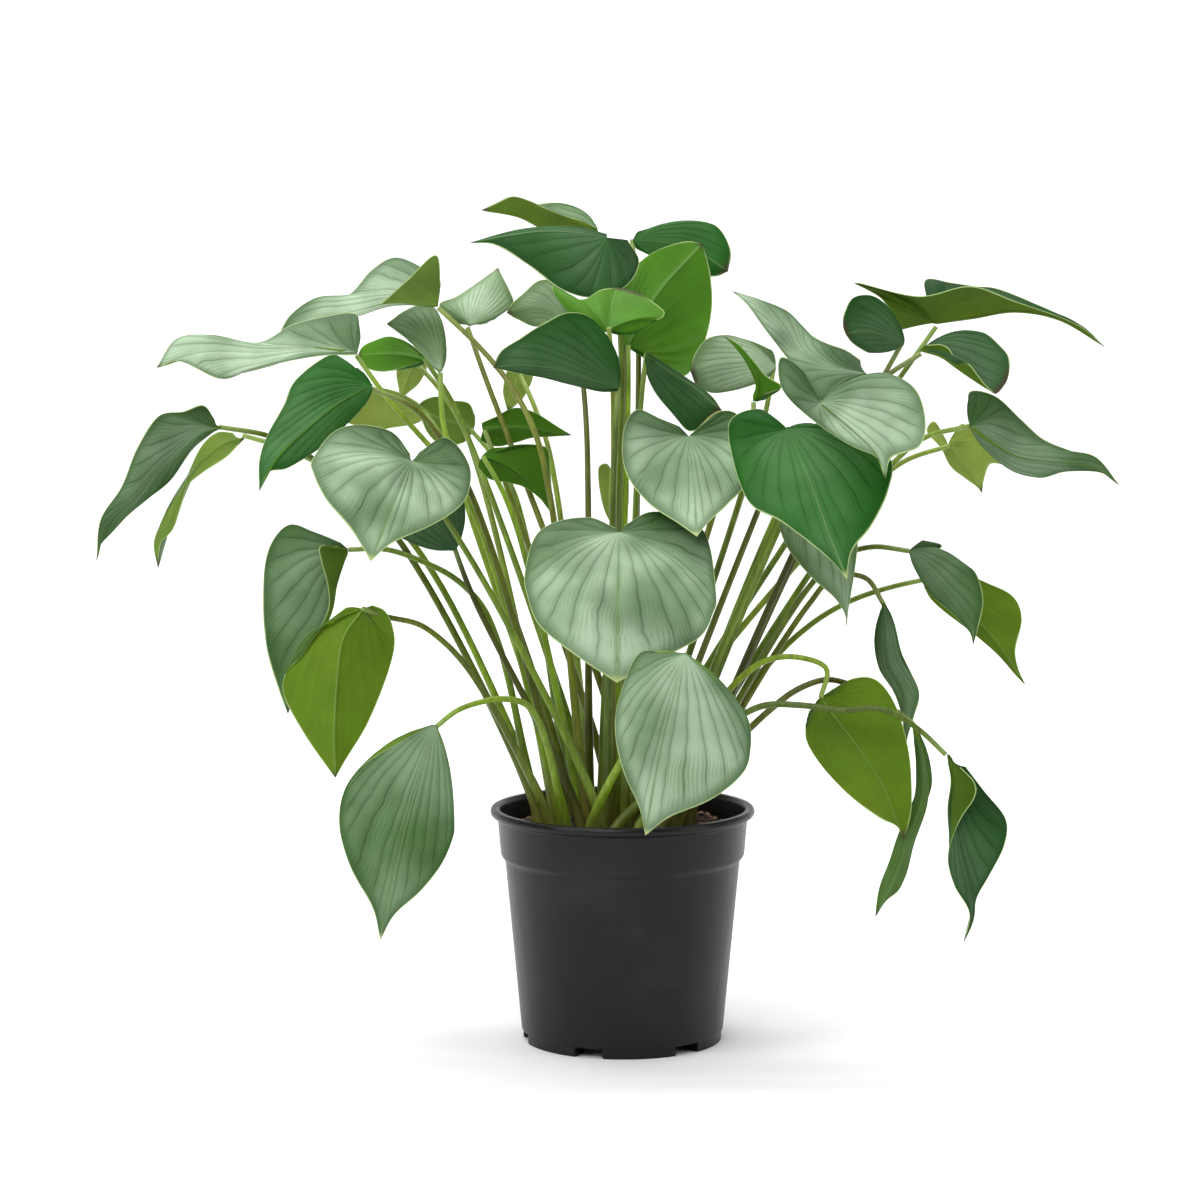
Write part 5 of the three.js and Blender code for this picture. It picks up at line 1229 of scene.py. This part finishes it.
def smoothLine(points, count):
    # Centripetal curve through the points, resampled evenly
    points = [np.array(point, float) for point in points]
    padded = [2 * points[0] - points[1], *points, 2 * points[-1] - points[-2]]
    fine = []
    for p in zip(padded, padded[1:], padded[2:], padded[3:]):
        t = [0.0]
        for a, b in zip(p, p[1:]):
            t.append(t[-1] + max(np.linalg.norm(b - a), 1e-6) ** 0.5)
        for at in np.linspace(t[1], t[2], stalkForm["curveSteps"], endpoint=False):
            a1, a2, a3 = (between(at, t[n], t[n + 1], p[n], p[n + 1]) for n in range(3))
            b1, b2 = between(at, t[0], t[2], a1, a2), between(at, t[1], t[3], a2, a3)
            fine.append(between(at, t[1], t[2], b1, b2))
    fine = np.array([*fine, points[-1]])
    gone = lengthsAlong(fine)
    even = np.linspace(0, gone[-1], count)
    return np.column_stack([np.interp(even, gone, fine[:, axis]) for axis in range(3)])


def stalkPath(leaf):
    # Straight up from its hole, out over its reading points, and in beneath the blade
    beneath = leaf["seat"] - leaf["seatUp"] * stalkForm["beneath"]
    soilPoint = leaf["root"].copy()
    soilPoint[2] = soilTop + stalkForm["clearOfSoil"]
    following = leaf["stalk"][-1]
    rise = soilPoint + (following - soilPoint) * stalkForm["riseShare"]
    rise[2] += stalkForm["riseLift"] * (following[2] - soilTop)
    line = smoothLine([soilPoint, rise, *reversed(leaf["stalk"]), beneath], stalkForm["steps"] + 1)
    return np.vstack([leaf["root"], line])


def stalkRadii():
    share = np.concatenate([[0], np.linspace(0, 1, stalkForm["steps"] + 1)])
    radii = (stalkForm["baseRadius"], stalkForm["middleRadius"], stalkForm["topRadius"])
    return np.interp(share, (0, stalkForm["middleAt"], 1), radii)


def nearestShares(u, v, w):
    # How far along two straight pieces lie the places where they come nearest
    uu, uv, vv = (u * u).sum(1), (u * v).sum(1), (v * v).sum(1)
    uw, vw = (u * w).sum(1), (v * w).sum(1)
    spread = uu * vv - uv * uv
    s = np.clip(np.where(spread > 1e-9, (uv * vw - vv * uw) / np.maximum(spread, 1e-9), 0), 0, 1)
    t = np.clip((uv * s + vw) / vv, 0, 1)
    return np.clip((uv * t - uw) / uu, 0, 1), t


def bendStalksClear(leaves, radii):
    # Stalks that run into one another are bent apart a little at a time
    paths = np.array([leaf["path"] for leaf in leaves])
    rest = paths.copy()
    first, second = np.triu_indices(len(leaves), 1)
    step = np.arange(1, stalkForm["steps"] + 1)
    p, q = (grid.ravel() for grid in np.meshgrid(step, step, indexing="ij"))
    i, j = np.repeat(first, len(p)), np.repeat(second, len(p))
    p, q = np.tile(p, len(first)), np.tile(q, len(first))
    need = radii[p] + radii[q] + stalkForm["gap"]
    for _ in range(stalkForm["bendRounds"]):
        a, c = paths[i, p], paths[j, q]
        u, v, w = paths[i, p + 1] - a, paths[j, q + 1] - c, a - c
        near = (w * w).sum(1) <= stalkForm["bendReach"] ** 2
        s, t = nearestShares(u, v, w)
        apart = w + u * s[:, None] - v * t[:, None]
        gap = np.linalg.norm(apart, axis=1)
        hit = near & (gap < need)
        apart[gap < 1e-6] = (0, 1, 0)
        push = apart / np.maximum(gap, 1e-6)[:, None] * ((need - gap) * stalkForm["pushShare"])[:, None]
        push, s, t = push[hit], s[hit, None], t[hit, None]
        shift = np.zeros_like(paths)
        np.add.at(shift, (i[hit], p[hit]), push * (1 - s))
        np.add.at(shift, (i[hit], p[hit] + 1), push * s)
        np.add.at(shift, (j[hit], q[hit]), push * (t - 1))
        np.add.at(shift, (j[hit], q[hit] + 1), -push * t)
        paths[:, 2:-1] += shift[:, 2:-1]
        middle = (paths[:, 1:-2] + paths[:, 3:]) / 2 - ((rest[:, 1:-2] + rest[:, 3:]) / 2 - rest[:, 2:-1])
        paths[:, 2:-1] += (middle - paths[:, 2:-1]) * stalkForm["evenShare"]
        if not hit.any():
            break
    for leaf, path in zip(leaves, paths):
        leaf["path"] = path


def sheetNormals(points, triangles):
    corner = points[triangles]
    normal = np.cross(corner[:, 1] - corner[:, 0], corner[:, 2] - corner[:, 0])
    normals = np.zeros_like(points)
    for n in range(3):
        np.add.at(normals, triangles[:, n], normal)
    return normals / (np.linalg.norm(normals, axis=1)[:, None] + 1e-12)


def wanderTurn(turn, name):
    # Uneven vein spacing, different on each leaf; the midrib and the notch stay where they are
    source = random.Random(name)
    moved = turn.copy()
    for waves in bladeForm["wanderWaves"]:
        moved += bladeForm["veinWander"] * np.sin(math.pi * waves * turn) * source.uniform(-1, 1)
    return moved


def bladeSheet(leaf, rings, steps):
    # Point 0 is the seat and the rest lie in rings round it, first one half and then the other
    place = outlinedPoints if "margins" in leaf else formedPoints
    reachAt = (np.arange(1, rings + 1) / rings) ** bladeForm["reachEase"]
    parts, turns, reaches = [place(leaf, 0, np.zeros(1), np.ones(1))], [np.array([0.5])], [np.zeros(1)]
    for side in (0, 1):
        turnAt = np.arange(0, steps + 1 - side) / steps
        turn, reach = (grid.ravel() for grid in np.meshgrid(turnAt, reachAt, indexing="ij"))
        moved = wanderTurn(1 - turn, f"{leaf['name']} {side}")
        parts.append(place(leaf, side, reach, turn))
        turns.append(0.5 - 0.5 * moved if side == 0 else 0.5 + 0.5 * moved)
        reaches.append(reach)
    joined = [np.concatenate(values) for values in zip(*parts)]
    return joined, np.concatenate(turns), np.concatenate(reaches)


def bladeTriangles(rings, steps):
    # The sheet's triangles, and its rim in order; the two halves share the midrib
    index = np.zeros((2, steps + 1, rings + 1), int)
    index[0, :, 1:] = 1 + np.arange((steps + 1) * rings).reshape(steps + 1, rings)
    index[1, :steps, 1:] = 1 + (steps + 1) * rings + np.arange(steps * rings).reshape(steps, rings)
    index[1, steps, 1:] = index[0, steps, 1:]
    triangles, rim = [], []
    for side, at in enumerate(index):
        quads = (at[:-1, 1:-1], at[:-1, 2:], at[1:, 2:], at[1:, 1:-1])
        a, b, c, d = (grid.ravel() for grid in quads)
        fan = (0 * at[1:, 1], at[:-1, 1], at[1:, 1])
        made = np.concatenate([np.column_stack(ends) for ends in ((a, b, c), (a, c, d), fan)])
        loop = np.concatenate([at[0, :], at[1:, -1]])
        triangles.append(made if side == 0 else made[:, ::-1])
        rim.append(loop if side == 0 else loop[::-1])
    return np.concatenate(triangles), np.concatenate([rim[0], rim[1][1:-1]])


def bladeMesh(leaf, tints):
    large = leaf["length"] > bladeForm["largeFrom"]
    rings = bladeForm["reachSteps" if large else "smallReachSteps"]
    steps = bladeForm["turnSteps" if large else "smallTurnSteps"]
    triangles, rim = bladeTriangles(rings, steps)
    (points, out, share, fromEdge, fromTip, pleat, bulge), mapTurn, mapReach = bladeSheet(leaf, rings, steps)

    # Veins sink and the blade swells between them, at the turns the markings read
    points += sheetNormals(points, triangles) * bulge[:, None]
    swell = 0.5 * np.sin(math.pi * mapReach) * np.minimum(2 * mapReach, 1)
    lift = -np.cos(2 * math.pi * bladeLook["veins"] * (2 * np.abs(mapTurn - 0.5)))
    points += sheetNormals(points, triangles) * (pleat * swell * lift)[:, None]

    # Both faces stand off the middle sheet, thinner at the margin, with a rib under the midrib
    normals = sheetNormals(points, triangles)
    thin = bladeForm["edgeThickness"]
    half = thin + (bladeForm["thickness"] - thin) * np.clip(fromEdge / bladeForm["edgeReach"], 0, 1)
    half = half[:, None] / 2
    taper = np.clip(1 - share, 0, 1) ** bladeForm["ribTaper"]
    rib = bladeForm["ribHeight"] * np.exp(-(out / bladeForm["ribWidth"]) ** 2) * taper
    verts = np.concatenate([points + normals * half, points - normals * (half + rib[:, None])])
    maps = np.column_stack([np.tile(mapTurn, 2), np.tile(mapReach, 2)])
    count = len(points)
    following = np.roll(rim, -1)
    edge = np.concatenate([np.column_stack([following, rim, rim + count]),
                           np.column_stack([following, rim + count, following + count])])
    faces = np.concatenate([triangles, triangles[:, ::-1] + count, edge])
    facts = dict(under=np.repeat([0.0, 1.0], count), fromEdge=np.tile(fromEdge, 2) * mm,
                 fromTip=np.tile(fromTip, 2) * mm,
                 paleTip=np.full(2 * count, float(leaf["number"] in paleTips)))
    # The tint's alpha is how much painted sheen lies above; beneath takes none
    tint = np.repeat([(*tints[0], tints[3]), (*tints[1], 0)], count, axis=0)
    return verts, faces, facts, tint, maps


def makeStalkTree(material):
    # Sweeps a round section along loose edges, with its place along the stalk as an attribute
    tree, given, result = startTree("leafStalk", Samples="NodeSocketInt", Sides="NodeSocketInt")
    neighbours = addNode(tree, "GeometryNodeInputMeshEdgeNeighbors").outputs[0]
    loose = addNode(tree, "FunctionNodeCompare", {2: neighbours, 3: 0}, data_type="INT", operation="EQUAL")
    line = addNode(tree, "GeometryNodeMeshToCurve",
                   {"Mesh": given["Geometry"], "Selection": loose.outputs[0]})
    even = addNode(tree, "GeometryNodeResampleCurve", {"Curve": line.outputs[0], "Count": given["Samples"]})
    along = addNode(tree, "GeometryNodeSplineParameter").outputs[0]
    marked = addNode(tree, "GeometryNodeStoreNamedAttribute",
                     {"Geometry": even.outputs[0], "Name": "stalkAlong", "Value": along},
                     data_type="FLOAT", domain="POINT")
    ring = addNode(tree, "GeometryNodeCurvePrimitiveCircle", {"Resolution": given["Sides"], "Radius": 1.0})
    width = addNode(tree, "GeometryNodeInputNamedAttribute", {"Name": "stalkRadius"}, data_type="FLOAT")
    tube = addNode(tree, "GeometryNodeCurveToMesh", {
        "Curve": marked.outputs[0], "Profile Curve": ring.outputs[0], "Scale": width.outputs[0],
        "Fill Caps": True})
    real = addNode(tree, "GeometryNodeRealizeInstances", {0: tube.outputs[0]})
    finish = addNode(tree, "GeometryNodeSetMaterial", {"Geometry": real.outputs[0], "Material": material})
    tree.links.new(finish.outputs[0], result[0])
    return tree


def addFact(mesh, name, values):
    mesh.attributes.new(name, "FLOAT", "POINT").data.foreach_set("value", values)


def stalkMesh(leaf, radii, tree):
    # The line the tube follows; its radius swells at the sheath and narrows to the blade
    samples = stalkForm["samples"]
    path = smoothLine(leaf["path"], samples)
    knots = lengthsAlong(leaf["path"])
    mesh = bpy.data.meshes.new("stalkLine")
    mesh.from_pydata(path * mm, [(k, k + 1) for k in range(samples - 1)], [])
    addFact(mesh, "stalkRadius", np.interp(np.linspace(0, 1, samples), knots / knots[-1], radii) * mm)
    made = runTree(addObject("stalkLine", mesh), tree, Samples=samples, Sides=stalkForm["sides"])
    points, along = np.zeros(len(made.vertices) * 3), np.zeros(len(made.vertices))
    made.vertices.foreach_get("co", points)
    made.attributes["stalkAlong"].data.foreach_get("value", along)
    faces = [tuple(polygon.vertices) for polygon in made.polygons]
    bpy.data.meshes.remove(made)
    return points.reshape(-1, 3), faces, along


def mapBlade(mesh, maps, bladeFaces, count):
    # In the fan round the seat the seat's corner takes the turn of its neighbours
    cornerVert = np.zeros(len(mesh.loops), int)
    mesh.loops.foreach_get("vertex_index", cornerVert)
    corner = maps[cornerVert]
    third = cornerVert[:3 * bladeFaces].reshape(-1, 3)
    turns = corner[:3 * bladeFaces, 0].reshape(-1, 3)
    isSeat = (third == 0) | (third == count // 2)
    fan = isSeat.any(axis=1)
    fanTurns = np.where(isSeat[fan], 0, turns[fan]).sum(axis=1) / 2
    turns[fan] = np.where(isSeat[fan], fanTurns[:, None], turns[fan])
    corner[:3 * bladeFaces, 0] = turns.ravel()
    mesh.uv_layers.new(name="bladeMap").data.foreach_set("uv", corner.ravel())


def buildLeaf(leaf, radii, bladeMaterial, stalkMaterial, tree):
    number, name = leaf["number"], leaf["name"]
    look = next((look for look, numbers in leafLooks.items() if number in numbers), "deep")
    tints = leafTints[look]
    bladeVerts, bladeFaces, facts, bladeTint, maps = bladeMesh(leaf, tints)
    stalkVerts, stalkFaces, stalkAlong = stalkMesh(leaf, radii, tree)
    count, extra = len(bladeVerts), len(stalkVerts)
    mesh = bpy.data.meshes.new(name + "Mesh")
    faces = [tuple(face) for face in bladeFaces.tolist()]
    faces += [tuple(k + count for k in face) for face in stalkFaces]
    mesh.from_pydata(np.concatenate([bladeVerts * mm, stalkVerts]), [], faces)
    for fact, values in facts.items():
        addFact(mesh, fact, np.concatenate([values, np.zeros(extra)]))
    addFact(mesh, "stalkAlong", np.concatenate([np.zeros(count), stalkAlong]))
    shade = stalkShades[number % len(stalkShades)]
    stalkTint = (*(s * part for s, part in zip(shade, tints[2])), 1)
    tint = np.concatenate([bladeTint, np.tile(stalkTint, (extra, 1))]).ravel()
    mesh.attributes.new("tint", "FLOAT_COLOR", "POINT").data.foreach_set("color", tint)
    mapBlade(mesh, np.concatenate([maps, np.zeros((extra, 2))]), len(bladeFaces), count)
    mesh.materials.append(bladeMaterial)
    mesh.materials.append(stalkMaterial)
    mesh.polygons.foreach_set("material_index", np.repeat([0, 1], [len(bladeFaces), len(stalkFaces)]))
    mesh.shade_smooth()
    mesh.set_sharp_from_angle(angle=math.radians(bladeForm["sharpFrom"]))
    newPiece(name + "_fine", mesh, name, slotName=name)


def makeLeaves(bladeMaterial, stalkMaterial):
    leaves = [readLeaf(number, row) for number, row in leafRows.items()]
    assignRoots(leaves)
    for leaf in leaves:
        leaf["path"] = stalkPath(leaf)
    radii = stalkRadii()
    bendStalksClear(leaves, radii)
    tree = makeStalkTree(stalkMaterial)
    for leaf in leaves:
        buildLeaf(leaf, radii, bladeMaterial, stalkMaterial, tree)


placeCamera()
placeLights()
layBackdrop(makeBackdropMaterial())
print("camera, light and backdrop placed")
makePot(makePotMaterial())
print("pot made")
makeSoil(makeSoilMaterial(), makeChipMaterial())
print("soil and bark chips made")
makeLeaves(makeBladeMaterial(), makeStalkMaterial())
print("leaves made:", len(leafRows))
